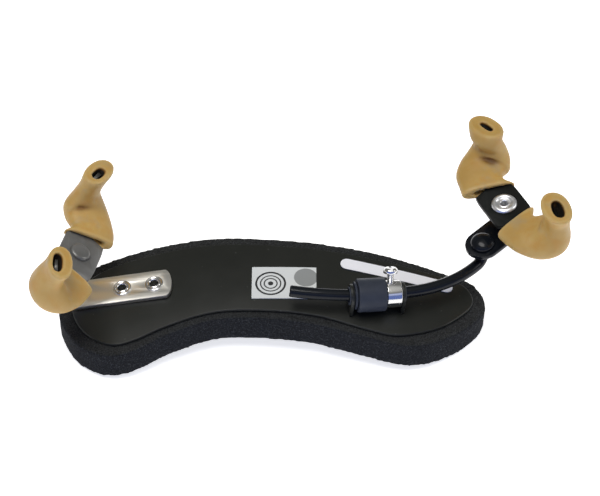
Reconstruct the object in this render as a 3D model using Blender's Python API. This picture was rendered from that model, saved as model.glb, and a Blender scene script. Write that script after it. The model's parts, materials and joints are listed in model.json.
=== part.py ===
"""A violin shoulder rest: foam-padded plate, two rubber-sleeved forks, sliding rod and clamp.

All sizes are in millimetres and are turned into metres where a mesh is made. +Z is up, +X runs
along the rest from the fixed fork to the adjustable one, and +Y points to the back.
"""

from math import cos, pi, radians, sin, sqrt

import bmesh
import bpy
from mathutils import Matrix, Vector

MM = 0.001

# Where the middle of the plate's top face lies, so that the bounding box's bottom centre is 0,0,0.
ASSEMBLY_PLACE = Vector((-10.67, 7.05, 18.69))

# Plate and pad
PLATE_THICKNESS = 1.3
ARCH_RADIUS = 420.0
PLATE_OUTLINE = [
    (-71.2, -22.0), (-67.0, -12.0), (-58.8, -6.2), (-44.4, -1.6), (-26.0, 1.7), (-8.0, 2.0),
    (19.0, -0.6), (44.0, -5.4), (63.0, -10.6), (70.2, -14.0), (72.3, -20.5), (68.2, -27.0),
    (58.5, -34.6), (45.0, -38.9), (33.0, -36.8), (16.0, -31.6), (-3.0, -29.4), (-21.0, -30.0),
    (-37.0, -35.4), (-48.0, -40.8), (-56.0, -42.2), (-64.5, -37.2), (-69.6, -29.8),
]
FOAM_THICKNESS = 11.3
# Height by which the pad is flattened at both ends, where it rests
FOAM_FLAT = 1.2
FOAM_OVERHANG = 3.3
FOAM_END_OVERHANG = 1.4
FOAM_SHIFT = -0.3
BEND_PITCH = 8.0

# Gaps between pieces that touch, and how far a cutter reaches past a wall
TOUCH_GAP = 0.3
SEAT_GAP = 0.1
CUT_REACH = 6.0
BEND_STEPS = 5

# Straps, forks and rivets
STRAP_HALF_WIDTH = 6.1
TAB_HALF_WIDTH = 4.6
STRAP_THICKNESS = 1.5
STRAP_BEND = 1.9
STRAP_YAW = radians(184.0)
STRAP_END = Vector((-35.6, -16.7))
STRAP_FLAT_MIDDLE = 17.0
STRAP_SAG = 0.35
STRAP_END_DEPTH = 2.4
STRAP_RIVETS = {"strap_rivet_inner": 6.3, "strap_rivet_outer": 17.9}
FORK_HALF_THICKNESS = 0.8
WASHER_THICKNESS = 0.5
PIVOT_NECK = 1.9
PIVOT_TAIL = 2.8
TAB_TO_PIVOT = 3.3
LEFT_PIVOT_REACH = 29.3
LEFT_PIVOT_RISE = 22.7
LEFT_TAB_TILT = radians(37.0)
LEFT_FORK_YAW = radians(16.0)
RIGHT_PIVOT_REACH = 11.7
RIGHT_PIVOT_RISE = 12.6
RIGHT_FORK_YAW = radians(-25.5)
WASHER_RADIUS = 4.6
RIVET_LIP = 0.75
RIVET_FLANGE = 3.35
RIVET_TAIL = 3.0
RIVET_NECK = 2.0
RIVET_BORE = 1.5

# Clamp: bush, roller, collar and screw along the rod's axis
CLAMP_MIDDLE = Vector((36.8, -26.6))
CLAMP_YAW = radians(8.0)
CLAMP_HEIGHT = 6.5
EAR_SPAN = 18.4
EAR_THICKNESS = 1.2
EAR_RADIUS = 4.2
EAR_TENON = 4.6
BUSH_RADIUS = 3.3
BUSH_BORE = 2.6
ROLLER_RADIUS = 6.0
ROLLER_LENGTH = 10.0
COLLAR_RADIUS = 4.9
SCREW_LEAN = radians(33.0)
THRUST_WIDTH = 0.8
THRUST_RADIUS = 4.9
BUSH_END = 0.4
BUSH_SLIT = 0.9
SCREW_RADIUS = 1.3
SCREW_FROM_ROLLER = 1.75
SCREW_HEAD_BASE = 7.7
SCREW_HEAD_RADIUS = 3.0
SCREW_HEAD_HEIGHT = 2.1

# Rod and link
ROD_RADIUS = 2.1
ROD_SLIDE_RADIUS = 130.0
ROD_LEFT_LENGTH = 31.0
ROD_RIGHT_LENGTH = 12.8
ROD_TURN_RADIUS = 47.0
ROD_TURN_LENGTH = 28.5
ROD_END_BEND = 3.6
ROD_END_RISE = 2.4
ROD_END_AXIS = Vector((-0.122, 0.0, 0.993)).normalized()
ROD_NECK = 1.6
DOME_RADIUS = 3.9
DOME_HEIGHT = 2.3
LINK_YAW = radians(41.0)
LINK_HALF_WIDTH = 6.3

# Labels
EMBLEM_SIZE = (23.1, 14.8)
EMBLEM_MIDDLE = (4.5, -17.0)
SIZE_LABEL_LENGTH = 41.2
SIZE_LABEL_WIDTH = 4.8
SIZE_LABEL_MIDDLE = (45.0, -11.1)
SIZE_LABEL_YAW = radians(-12.3)
LABEL_THICKNESS = 0.25
LABEL_TOP = 0.4

# Fork arm stations, from the middle of the fork to the prong's end: place (outward, along, up),
# heading and pitch of the arm in degrees, and the steel's half width.
ARM = [
    (0.0, 0.0, 0.0, 0, 0, 7.4),
    (0.0, 5.0, 0.0, 4, 0, 7.4),
    (0.3, 8.6, 0.0, 15, 0, 7.0),
    (1.0, 12.5, 0.0, 20, 0, 5.2),
    (2.2, 16.4, 0.0, 28, 0, 4.7),
    (4.2, 20.0, 0.4, 40, 16, 4.4),
    (6.2, 22.3, 2.6, 54, 50, 4.0),
    (7.2, 23.1, 6.6, 66, 76, 3.6),
    (7.6, 23.9, 11.0, 72, 82, 3.5),
    (7.8, 25.1, 15.6, 75, 82, 3.5),
]
# Rubber sleeve over stations 2 to 9: half width, half thickness, and the shifts of its middle
# outwards across the arm and towards the arm's upper face.
SLEEVE = [
    (8.9, 2.9, -0.8, 0.0),
    (8.1, 3.2, -1.8, -0.1),
    (9.1, 4.0, -0.9, -0.2),
    (8.9, 5.4, -0.6, -0.8),
    (8.0, 6.2, -0.2, -1.0),
    (6.9, 5.4, 0.0, -0.4),
    (6.5, 4.8, 0.0, 0.2),
    (6.7, 4.9, 0.0, 0.3),
]
SLEEVE_FIRST = 2
ARM_STEPS = 2
SLEEVE_POINTS = 16
# A quarter of the slot round the steel, as shares of its half width and half thickness.
SLOT_QUARTER = [(1.0, 0.5), (1.0, 1.0), (0.66, 1.0), (0.22, 1.0)]


def clear_scene():
    for obj in list(bpy.data.objects):
        bpy.data.objects.remove(obj, do_unlink=True)


def material(name, colour, roughness, metallic):
    made = bpy.data.materials.new(name)
    made.use_nodes = True
    shader = made.node_tree.nodes["Principled BSDF"]
    shader.inputs["Base Color"].default_value = (*colour, 1.0)
    shader.inputs["Roughness"].default_value = roughness
    shader.inputs["Metallic"].default_value = metallic
    return made


def frame_at(place, x_axis, y_axis, z_axis):
    turn = Matrix((x_axis, y_axis, z_axis)).transposed().to_4x4()
    return Matrix.Translation(place * MM) @ turn


def empty_at(name, matrix, parent=None):
    made = bpy.data.objects.new(name, None)
    made.empty_display_size = 5 * MM
    bpy.context.scene.collection.objects.link(made)
    made.parent = parent
    made.matrix_basis = matrix
    return made


def finish_mesh(name, bm, parent, paint, smooth=False):
    """The object of a bmesh in millimetres: normals outward, scaled to metres, on its parent."""
    bmesh.ops.recalc_face_normals(bm, faces=bm.faces)
    bmesh.ops.scale(bm, vec=(MM, MM, MM), verts=bm.verts)
    mesh = bpy.data.meshes.new(name)
    bm.to_mesh(mesh)
    bm.free()
    mesh.polygons.foreach_set("use_smooth", [smooth] * len(mesh.polygons))
    made = bpy.data.objects.new(name, mesh)
    bpy.context.scene.collection.objects.link(made)
    made.parent = parent
    if paint is not None:
        mesh.materials.append(paint)
    return made


def skin(bm, rings, join_ends):
    """Faces between rings of points: capped at both ends, or joined from last ring to first."""
    loops = [[bm.verts.new(point) for point in ring] for ring in rings]
    pairs = list(zip(loops, loops[1:]))
    if join_ends:
        pairs.append((loops[-1], loops[0]))
    else:
        bm.faces.new(loops[0])
        bm.faces.new(loops[-1])
    for near, far in pairs:
        for index, corner in enumerate(near):
            following = (index + 1) % len(near)
            bm.faces.new((corner, near[following], far[following], far[index]))


def skinned(name, rings, parent, paint, join_ends=False, smooth=False):
    bm = bmesh.new()
    skin(bm, rings, join_ends)
    return finish_mesh(name, bm, parent, paint, smooth)


def turned(name, profile, parent, paint, steps=20, closed=False):
    """A solid of revolution about local Z. The profile is (radius, height) points."""
    bm = bmesh.new()
    verts = [bm.verts.new((radius, 0.0, height)) for radius, height in profile]
    edges = [bm.edges.new(pair) for pair in zip(verts, verts[1:])]
    if closed:
        edges.append(bm.edges.new((verts[-1], verts[0])))
    bmesh.ops.spin(bm, geom=verts + edges, cent=(0, 0, 0), axis=(0, 0, 1), angle=2 * pi, steps=steps)
    bmesh.ops.remove_doubles(bm, verts=bm.verts, dist=0.001)
    return finish_mesh(name, bm, parent, paint, smooth=True)


def tube(name, outer, inner, bottom, top, parent, paint, steps=24):
    profile = [(outer, bottom), (outer, top), (inner, top), (inner, bottom)]
    return turned(name, profile, parent, paint, steps, closed=True)


def bevelled(obj, width):
    modifier = obj.modifiers.new("bevel", "BEVEL")
    modifier.width = width * MM
    modifier.segments = 1
    modifier.limit_method = "ANGLE"
    modifier.angle_limit = radians(60)


def cut(obj, cutter):
    cutter.hide_render = True
    cutter.display_type = "WIRE"
    modifier = obj.modifiers.new("cut_" + cutter.name, "BOOLEAN")
    modifier.operation = "DIFFERENCE"
    modifier.solver = "EXACT"
    modifier.object = cutter


def pin_cutter(name, radius, bottom, top, parent, place=(0, 0, 0)):
    """A round cutter along its parent's local Z."""
    bm = bmesh.new()
    depth = top - bottom
    middle = Vector(place) + Vector((0, 0, (top + bottom) / 2))
    bmesh.ops.create_cone(
        bm, cap_ends=True, segments=24, radius1=radius, radius2=radius, depth=depth,
        matrix=Matrix.Translation(middle),
    )
    return finish_mesh(name, bm, parent, None)


def box_cutter(name, size, middle, parent):
    bm = bmesh.new()
    scale = Matrix.Diagonal((*size, 1.0))
    bmesh.ops.create_cube(bm, size=1.0, matrix=Matrix.Translation(middle) @ scale)
    return finish_mesh(name, bm, parent, None)


def spline(points, steps, closed=False):
    """Points on a Catmull-Rom curve through tuples of any length."""
    made = []
    count = len(points)
    spans = count if closed else count - 1
    for span in range(spans):
        picked = []
        for offset in (-1, 0, 1, 2):
            index = span + offset
            index = index % count if closed else min(max(index, 0), count - 1)
            picked.append(points[index])
        for step in range(steps):
            t = step / steps
            made.append(tuple(
                0.5 * (2 * b + (c - a) * t + (2 * a - 5 * b + 4 * c - d) * t * t
                       + (3 * b - a - 3 * c + d) * t ** 3)
                for a, b, c, d in zip(*picked)
            ))
    if not closed:
        made.append(tuple(points[-1]))
    return made


def arch(x):
    """Height of the plate's top face below its crown."""
    return -x * x / (2 * ARCH_RADIUS)


def widened(outline, overhang, end_overhang):
    """The outline moved outwards, further where it faces along the rest."""
    made = []
    for index, (x, y) in enumerate(outline):
        before = outline[index - 1]
        after = outline[(index + 1) % len(outline)]
        along = Vector((after[0] - before[0], after[1] - before[1])).normalized()
        out = Vector((-along.y, along.x))
        shift = overhang + end_overhang * out.x ** 2
        made.append((x + out.x * shift + FOAM_SHIFT, y + out.y * shift))
    return made


def arched_sheet(name, outline, top, thickness, parent, paint, flat=0.0):
    """A flat sheet of this outline, cut across into strips and bent to the plate's arch.

    flat is the height by which its lowest parts, at the two ends, are cut off level.
    """
    bm = bmesh.new()
    face = bm.faces.new([bm.verts.new((x, y, top)) for x, y in outline])
    down = bmesh.ops.extrude_face_region(bm, geom=[face])["geom"]
    corners = [item for item in down if isinstance(item, bmesh.types.BMVert)]
    bmesh.ops.translate(bm, verts=corners, vec=(0, 0, -thickness))
    low = min(x for x, _ in outline)
    high = max(x for x, _ in outline)
    flat_from = sqrt(max(low * low, high * high) - 2 * ARCH_RADIUS * flat)
    cuts = [-flat_from, flat_from] if flat else []
    x = (low // BEND_PITCH + 1) * BEND_PITCH
    while x < high - 1.0:
        cuts.append(x)
        x += BEND_PITCH
    for x in cuts:
        everything = list(bm.verts) + list(bm.edges) + list(bm.faces)
        bmesh.ops.bisect_plane(bm, geom=everything, plane_co=(x, 0, 0), plane_no=(1, 0, 0))
    for vert in bm.verts:
        vert.co.z += arch(vert.co.x)
    floor = min(vert.co.z for vert in bm.verts) + flat
    for vert in bm.verts:
        vert.co.z = max(vert.co.z, floor)
    return finish_mesh(name, bm, parent, paint)


def strap_widths(path, half_width, start_depth, steps=5):
    """(distance, half width) pairs: a rounded start, a taper up the riser, a half-round end.

    The path's last two legs are the riser and the tab, so the riser starts at the bend's end.
    """
    length = path[-1][3]
    foot = path[-BEND_STEPS - 3][3]
    head = path[-BEND_STEPS - 2][3]
    made = [(foot, half_width), (head, TAB_HALF_WIDTH)]
    for end, depth, half in ((0, start_depth, half_width), (1, TAB_HALF_WIDTH, TAB_HALF_WIDTH)):
        for step in range(steps + 1):
            angle = pi / 2 * (1 - (step + 0.35) / steps) if step < steps else 0.0
            inward = depth * (1 - sin(angle))
            made.append((length - inward if end else inward, half * cos(angle)))
    made += [(point[3], half_width) for point in path[1:] if start_depth < point[3] < foot]
    made += [(point[3], TAB_HALF_WIDTH) for point in path if head < point[3] < length - TAB_HALF_WIDTH]
    return sorted(made)


def folded_path(legs, bend):
    """Points (x, z, pitch, distance) along straight legs with round bends between them.

    A leg is (length, pitch). The bend's radius is that of the strap's middle.
    """
    x, z, distance = 0.0, 0.0, 0.0
    points = [(x, z, legs[0][1], distance)]
    for index, (length, pitch) in enumerate(legs):
        if index:
            before = legs[index - 1][1]
            for step in range(BEND_STEPS):
                turn = (pitch - before) / BEND_STEPS
                heading = before + turn * (step + 0.5)
                chord = 2 * bend * sin(abs(turn) / 2)
                x += chord * cos(heading)
                z += chord * sin(heading)
                distance += chord
                points.append((x, z, before + turn * (step + 1), distance))
        x += length * cos(pitch)
        z += length * sin(pitch)
        distance += length
        points.append((x, z, pitch, distance))
    return points


def path_at(path, distance):
    for near, far in zip(path, path[1:]):
        if distance <= far[3] or far is path[-1]:
            share = (distance - near[3]) / max(far[3] - near[3], 1e-9)
            return tuple(a + (b - a) * share for a, b in zip(near, far))


def folded_strap(name, path, half_width, start_depth, parent, paint):
    """A strap of sheet metal along a path in local XZ, with its middle plane on the path."""
    rings = []
    for distance, half in strap_widths(path, half_width, start_depth):
        x, z, pitch, _ = path_at(path, distance)
        lift = Vector((-sin(pitch), 0, cos(pitch))) * STRAP_THICKNESS / 2
        middle = Vector((x, 0, z))
        side = Vector((0, half, 0))
        rings.append([middle - lift - side, middle - lift + side,
                      middle + lift + side, middle + lift - side])
    return skinned(name, rings, parent, paint)


def arm_rings(side, stations, shape):
    """Rings square to the fork arm. shape(station) gives the ring's (across, up) points."""
    rings = []
    for station in stations:
        u, v, h, heading, pitch = station[:5]
        heading = radians(heading)
        pitch = radians(pitch)
        across = Vector((cos(heading), -side * sin(heading), 0.0))
        ahead = Vector((sin(heading), side * cos(heading), 0.0))
        up = Vector((0, 0, cos(pitch))) - ahead * sin(pitch)
        middle = Vector((u, side * v, h))
        rings.append([middle + across * a + up * b for a, b in shape(station)])
    return rings


def box_shape(half_width, half_thickness):
    return [(-half_width, -half_thickness), (half_width, -half_thickness),
            (half_width, half_thickness), (-half_width, half_thickness)]


def fork_frame(name, pivot, axis, yaw, parent):
    """An empty at a fork's pivot: Z along the pivot, Y to the back, X to the right."""
    back = Vector((sin(yaw), cos(yaw), 0.0))
    back = (back - axis * back.dot(axis)).normalized()
    return empty_at(name, frame_at(pivot, back.cross(axis), back, axis), parent)


def outward(rings, side):
    return [[Vector((side * point.x, point.y, point.z)) for point in ring] for ring in rings]


def make_fork(name, frame, side, paint):
    """One strip of sheet steel: a plate with an arm at each end, bent up into a prong."""
    def section(station):
        return box_shape(station[5], FORK_HALF_THICKNESS)

    # The prong stops one step short of the sleeve's tip, inside its slot.
    stations = spline(ARM, ARM_STEPS)[:-1]
    front = arm_rings(-1, stations, section)
    back = arm_rings(1, stations, section)
    # The front arm's rings run the other way round, so that one skin covers both arms.
    rings = list(reversed(front))[:-1] + back
    fork = skinned(name, outward(rings, side), frame, paint)
    bore = PIVOT_NECK + 0.4
    cut(fork, pin_cutter(name + "_bore", bore, -CUT_REACH, CUT_REACH, frame))
    return fork


def make_sleeve(name, frame, side, end, paint):
    """A rubber sleeve over one arm, open at the fork's plate and slotted at the prong's tip."""
    joined = [ARM[SLEEVE_FIRST + index] + SLEEVE[index] for index in range(len(SLEEVE))]
    stations = spline(joined, ARM_STEPS)

    def outside(station):
        half_width, half_thickness, shift, lift = station[6:]
        points = []
        for index in range(SLEEVE_POINTS):
            angle = 2 * pi * (index + 0.5) / SLEEVE_POINTS
            a = half_width * abs(cos(angle)) ** 0.8 * (1 if cos(angle) > 0 else -1)
            b = half_thickness * abs(sin(angle)) ** 0.8 * (1 if sin(angle) > 0 else -1)
            points.append((a + shift, b + lift))
        return points

    def inside(station):
        wide = station[5] + TOUCH_GAP
        thick = FORK_HALF_THICKNESS + TOUCH_GAP
        points = []
        for right, up, order in ((1, 1, 1), (-1, 1, -1), (-1, -1, 1), (1, -1, -1)):
            points += [(right * wide * a, up * thick * b) for a, b in SLOT_QUARTER[::order]]
        return points

    outer = arm_rings(end, stations, outside)
    inner = arm_rings(end, stations, inside)
    rings = outward(outer + list(reversed(inner)), side)
    return skinned(name, rings, frame, paint, join_ends=True, smooth=True)


def arched_places(root, paint):
    """The plate, its pad and the two labels, all bent to the same arch."""
    outline = spline(PLATE_OUTLINE, 3, closed=True)
    plate = arched_sheet("base_plate", outline, 0.0, PLATE_THICKNESS, root, paint["plate"])
    foam_top = -PLATE_THICKNESS - TOUCH_GAP
    foam_outline = widened(outline, FOAM_OVERHANG, FOAM_END_OVERHANG)
    foam = arched_sheet(
        "foam_pad", foam_outline, foam_top, FOAM_THICKNESS, root, paint["foam"], flat=FOAM_FLAT
    )
    emblem = place_outline(box_shape(EMBLEM_SIZE[0] / 2, EMBLEM_SIZE[1] / 2), EMBLEM_MIDDLE, 0.0)
    arched_sheet("emblem_label", emblem, LABEL_TOP, LABEL_THICKNESS, root, paint["silver"])
    size = place_outline(stadium(SIZE_LABEL_LENGTH, SIZE_LABEL_WIDTH), SIZE_LABEL_MIDDLE, SIZE_LABEL_YAW)
    arched_sheet("size_label", size, LABEL_TOP, LABEL_THICKNESS, root, paint["white"])
    return plate, foam


def place_outline(outline, middle, yaw):
    return [
        (middle[0] + x * cos(yaw) - y * sin(yaw), middle[1] + x * sin(yaw) + y * cos(yaw))
        for x, y in outline
    ]


def stadium(length, width, steps=6):
    """The outline of a strip with two half-round ends, counter-clockwise."""
    reach = (length - width) / 2
    points = []
    for middle, start in ((reach, -pi / 2), (-reach, pi / 2)):
        for step in range(steps + 1):
            angle = start + pi * step / steps
            points.append((middle + width / 2 * cos(angle), width / 2 * sin(angle)))
    return points


def hollow_rivet(name, frame, x, stack, drilled, pad, paint):
    """A flanged tube through the drilled pieces, rolled over at both ends, with a pocket in the pad."""
    top, bottom = stack
    profile = [
        (RIVET_BORE, bottom - RIVET_LIP), (RIVET_TAIL, bottom - RIVET_LIP),
        (RIVET_TAIL, bottom - SEAT_GAP), (RIVET_NECK, bottom - SEAT_GAP),
        (RIVET_NECK, top + SEAT_GAP), (RIVET_FLANGE, top + SEAT_GAP),
        (RIVET_FLANGE - 0.4, top + 0.5), (2.2, top + RIVET_LIP), (RIVET_BORE, top + 0.4),
    ]
    rivet = turned(name, profile, frame, paint, steps=16, closed=True)
    rivet.location.x = x * MM
    place = (x, 0, 0)
    for target in drilled:
        hole = name + "_hole_" + target.name
        cut(target, pin_cutter(hole, RIVET_NECK + TOUCH_GAP, -CUT_REACH, CUT_REACH, frame, place))
    cut(pad, pin_cutter(name + "_pocket", RIVET_TAIL + 0.4, -5.0, 0.0, frame, place))


def strap_frame(name, place, yaw, slope, parent):
    """An empty with X along a strap, sloping with the plate under it, and Z square to it."""
    along = Vector((cos(yaw), sin(yaw), slope * cos(yaw))).normalized()
    across = Vector((0, 0, 1)).cross(along).normalized()
    return empty_at(name, frame_at(place, along, across, along.cross(across)), parent)


def c_strap_path(start, lift, reach, rise, tilt):
    """The path of a strap that runs flat from start, then bends up and back over to a tab.

    The tab carries a fork whose middle plane is at (reach, rise), tilted by tilt.
    """
    drop = FORK_HALF_THICKNESS + WASHER_THICKNESS + 2 * TOUCH_GAP + STRAP_THICKNESS / 2
    tab_x = reach + drop * sin(tilt) + TAB_TO_PIVOT * cos(tilt)
    tab_z = rise - drop * cos(tilt) + TAB_TO_PIVOT * sin(tilt)
    flat = tab_x + STRAP_BEND * sin(tilt) - start
    riser = tab_z - STRAP_BEND * cos(tilt) - STRAP_BEND - lift
    tab = TAB_TO_PIVOT + TAB_HALF_WIDTH
    path = folded_path([(flat, 0.0), (riser, pi / 2), (tab, pi + tilt)], STRAP_BEND)
    return [(x + start, z + lift, pitch, distance) for x, z, pitch, distance in path]


def left_side(root, plate, foam, paint):
    """The strap that carries the fixed fork, its two hollow rivets and the fork itself."""
    middle = STRAP_END.x + STRAP_FLAT_MIDDLE * cos(STRAP_YAW)
    slope = -middle / ARCH_RADIUS
    height = arch(middle) + slope * (STRAP_END.x - middle)
    place = Vector((STRAP_END.x, STRAP_END.y, height))
    frame = strap_frame("strap_place", place, STRAP_YAW, slope, root)
    lift = TOUCH_GAP + STRAP_THICKNESS / 2
    path = c_strap_path(0.0, lift, LEFT_PIVOT_REACH, LEFT_PIVOT_RISE, LEFT_TAB_TILT)
    strap = folded_strap(
        "foot_strap", path, STRAP_HALF_WIDTH, STRAP_END_DEPTH, frame, paint["strap"]
    )
    stack = (TOUCH_GAP + STRAP_THICKNESS, -PLATE_THICKNESS - STRAP_SAG)
    for name, x in STRAP_RIVETS.items():
        hollow_rivet(name, frame, x, stack, (strap, plate), foam, paint["chrome"])
    axis = frame.matrix_basis.to_3x3() @ Vector((-sin(LEFT_TAB_TILT), 0, cos(LEFT_TAB_TILT)))
    pivot = frame.matrix_basis @ (Vector((LEFT_PIVOT_REACH, 0, LEFT_PIVOT_RISE)) * MM) / MM
    turn = fork_frame("left_fork_axis", pivot, axis, LEFT_FORK_YAW, root)
    make_fork("left_fork", turn, -1, paint["steel"])
    for name, end in (("left_sleeve_back", 1), ("left_sleeve_front", -1)):
        make_sleeve(name, turn, -1, end, paint["rubber"])
    fork_pivot("left_fork", "left_fork_rivet", turn, strap, solid_head(), paint["black"], paint["black"])


def solid_head():
    """The low round head of the left rivet: a flat top with a rounded edge."""
    top = FORK_HALF_THICKNESS + SEAT_GAP
    return [(0.0, top + 1.3), (2.9, top + 1.3), (3.5, top + 0.9), (3.7, top + 0.3), (3.7, top)]


def eyelet_head():
    """The wide rolled flange of the right eyelet, with a small hole in its middle."""
    top = FORK_HALF_THICKNESS + SEAT_GAP
    return [
        (1.15, top - 0.4), (1.3, top + 0.35), (2.0, top + 0.5), (2.7, top + 1.0),
        (3.4, top + 1.1), (4.2, top + 0.75), (4.6, top + 0.3), (4.6, top),
    ]


def fork_pivot(fork, name, frame, tab, head, paint_head, paint_washer):
    """The rivet through fork, washer and tab, and the washer. The bore in the tab is cut too."""
    washer_top = -FORK_HALF_THICKNESS - TOUCH_GAP
    washer_bottom = washer_top - WASHER_THICKNESS
    tab_bottom = washer_bottom - TOUCH_GAP - STRAP_THICKNESS
    end = tab_bottom - 0.9
    hole = head[0][0]
    tail = [
        (PIVOT_NECK, FORK_HALF_THICKNESS + SEAT_GAP), (PIVOT_NECK, tab_bottom - SEAT_GAP),
        (PIVOT_TAIL, tab_bottom - SEAT_GAP), (PIVOT_TAIL - 0.3, end), (hole, end),
    ]
    turned(name, head + tail, frame, paint_head, closed=hole > 0)
    bore = PIVOT_NECK + TOUCH_GAP
    tube(fork + "_washer", WASHER_RADIUS, bore, washer_bottom, washer_top, frame, paint_washer)
    cut(tab, pin_cutter(name + "_bore", bore, tab_bottom - 1, washer_bottom + 0.2, frame))


def clamp_frame(root):
    """An empty at the clamp's middle, with X along the bush and Z square to the plate."""
    x, y = CLAMP_MIDDLE
    slope = -x / ARCH_RADIUS
    along = Vector((cos(CLAMP_YAW), sin(CLAMP_YAW), slope)).normalized()
    across = Vector((0, 0, 1)).cross(along).normalized()
    up = along.cross(across)
    place = Vector((x, y, arch(x))) + up * CLAMP_HEIGHT
    return empty_at("bush_axis", frame_at(place, along, across, up), root)


def ear_outline():
    """An upright ear's (across, up) outline, with a tenon through the plate at its foot."""
    foot = -CLAMP_HEIGHT + TOUCH_GAP
    tip = -CLAMP_HEIGHT - PLATE_THICKNESS
    half = EAR_TENON / 2
    points = [(half, tip), (half, foot), (EAR_RADIUS, foot)]
    steps = 12
    for step in range(steps + 1):
        angle = pi * step / steps
        points.append((EAR_RADIUS * cos(angle), EAR_RADIUS * sin(angle)))
    return points + [(-EAR_RADIUS, foot), (-half, foot), (-half, tip)]


def ears(frame, bush_turn, plate, paint):
    """The two ears that hold the bush, each with a tenon in a slot of the plate."""
    for name, x in (("hinge_ear_left", -EAR_SPAN / 2), ("hinge_ear_right", EAR_SPAN / 2)):
        rings = [
            [Vector((x + shift, y, z)) for y, z in ear_outline()]
            for shift in (-EAR_THICKNESS / 2, EAR_THICKNESS / 2)
        ]
        ear = skinned(name, rings, frame, paint["plate"])
        hole = BUSH_RADIUS + TOUCH_GAP
        cut(ear, pin_cutter(name + "_bore", hole, x - CUT_REACH, x + CUT_REACH, bush_turn))
        size = (EAR_THICKNESS + 2 * TOUCH_GAP, EAR_TENON + 2 * TOUCH_GAP, 4.0)
        cut(plate, box_cutter(name + "_slot", size, (x, 0, -CLAMP_HEIGHT - 0.7), frame))


def clamp(root, plate, paint):
    """Two ears on the plate, and between them the bush with its washer, roller and collar."""
    frame = clamp_frame(root)
    along = Matrix.Rotation(radians(90), 4, "Y")
    bush_turn = empty_at("bush_place", along, frame)
    ears(frame, bush_turn, plate, paint)
    reach = EAR_SPAN / 2 + EAR_THICKNESS / 2 + BUSH_END
    bush = tube("clamp_bush", BUSH_RADIUS, BUSH_BORE, -reach, reach, bush_turn, paint["black"])
    bore = BUSH_RADIUS + TOUCH_GAP
    left = -EAR_SPAN / 2 + EAR_THICKNESS / 2 + TOUCH_GAP
    right = left + THRUST_WIDTH
    tube("thrust_washer", THRUST_RADIUS, bore, left, right, bush_turn, paint["black"])
    left = right + TOUCH_GAP
    right = left + ROLLER_LENGTH
    roller = tube("friction_roller", ROLLER_RADIUS, bore, left, right, bush_turn, paint["black"], 32)
    bevelled(roller, 0.4)
    left = right + TOUCH_GAP
    right = EAR_SPAN / 2 - EAR_THICKNESS / 2 - TOUCH_GAP
    collar = tube("clamp_collar", COLLAR_RADIUS, bore, left, right, bush_turn, paint["chrome"], 28)
    bevelled(collar, 0.3)
    # The bush is slit under the collar, so that the screw's pressure closes it on the rod.
    slit_start = left + 1.0
    slit = (reach - slit_start + CUT_REACH, BUSH_SLIT, BUSH_RADIUS * 2)
    middle = (slit_start + slit[0] / 2, 0, -BUSH_RADIUS - 0.4)
    cut(bush, box_cutter("bush_slit", slit, middle, frame))
    clamp_screw(frame, left + SCREW_FROM_ROLLER, collar, paint["chrome"])
    return frame


def clamp_screw(frame, x, collar, paint):
    """The slotted screw through the collar's wall, leaning back from upright."""
    lean = Matrix.Rotation(-SCREW_LEAN, 4, "X")
    axis = empty_at("screw_axis", Matrix.Translation(Vector((x, 0, 0)) * MM) @ lean, frame)
    cut(collar, pin_cutter("collar_tapping", SCREW_RADIUS + TOUCH_GAP, 0.0, 9.0, axis))
    tip = BUSH_RADIUS + TOUCH_GAP
    top = SCREW_HEAD_BASE + SCREW_HEAD_HEIGHT
    profile = [
        (0.0, tip), (SCREW_RADIUS - 0.3, tip), (SCREW_RADIUS, tip + 0.3),
        (SCREW_RADIUS, SCREW_HEAD_BASE), (SCREW_HEAD_RADIUS, SCREW_HEAD_BASE),
        (SCREW_HEAD_RADIUS, top - 0.4), (SCREW_HEAD_RADIUS - 0.4, top), (0.0, top),
    ]
    screw = turned("clamp_screw", profile, axis, paint, steps=24)
    cut(screw, box_cutter("screw_slot", (0.9, 4 * SCREW_HEAD_RADIUS, 2.0), (0, 0, top), axis))


def rod_points():
    """The rod's middle line in the clamp's frame, a wide arc and then a tighter one, and its end's way."""
    pieces = [
        (ROD_LEFT_LENGTH + ROD_RIGHT_LENGTH, ROD_SLIDE_RADIUS, 12),
        (ROD_TURN_LENGTH, ROD_TURN_RADIUS, 10),
    ]
    heading = -ROD_LEFT_LENGTH / ROD_SLIDE_RADIUS
    place = Vector((ROD_SLIDE_RADIUS * sin(heading), ROD_SLIDE_RADIUS * (1 - cos(heading)), 0))
    points = [place.copy()]
    for length, radius, steps in pieces:
        turn = length / steps / radius
        chord = 2 * radius * sin(turn / 2)
        for _ in range(steps):
            place += Vector((cos(heading + turn / 2), sin(heading + turn / 2), 0)) * chord
            heading += turn
            points.append(place.copy())
    return points, Vector((cos(heading), sin(heading), 0))


def bent_up(points, ahead, up, rise):
    """The line carried on round a bend to the direction up, then straight for rise."""
    turn = ahead.angle(up) / BEND_STEPS
    half_turn = Matrix.Rotation(turn / 2, 3, ahead.cross(up).normalized())
    chord = 2 * ROD_END_BEND * sin(turn / 2)
    made = list(points)
    place = points[-1].copy()
    direction = ahead.copy()
    for _ in range(BEND_STEPS):
        direction.rotate(half_turn)
        place = place + direction * chord
        direction.rotate(half_turn)
        made.append(place.copy())
    made.append(place + up * rise)
    return made


def round_rings(points, radii, steps=12):
    """Rings round a line, each square to it, with no twist from one to the next."""
    rings = []
    side = None
    for index, point in enumerate(points):
        before = points[max(index - 1, 0)]
        after = points[min(index + 1, len(points) - 1)]
        ahead = (after - before).normalized()
        if side is None:
            side = ahead.orthogonal().normalized()
        side = (side - ahead * side.dot(ahead)).normalized()
        other = ahead.cross(side)
        ring = []
        for step in range(steps):
            angle = 2 * pi * step / steps
            ring.append(point + (side * cos(angle) + other * sin(angle)) * radii[index])
        rings.append(ring)
    return rings


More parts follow.
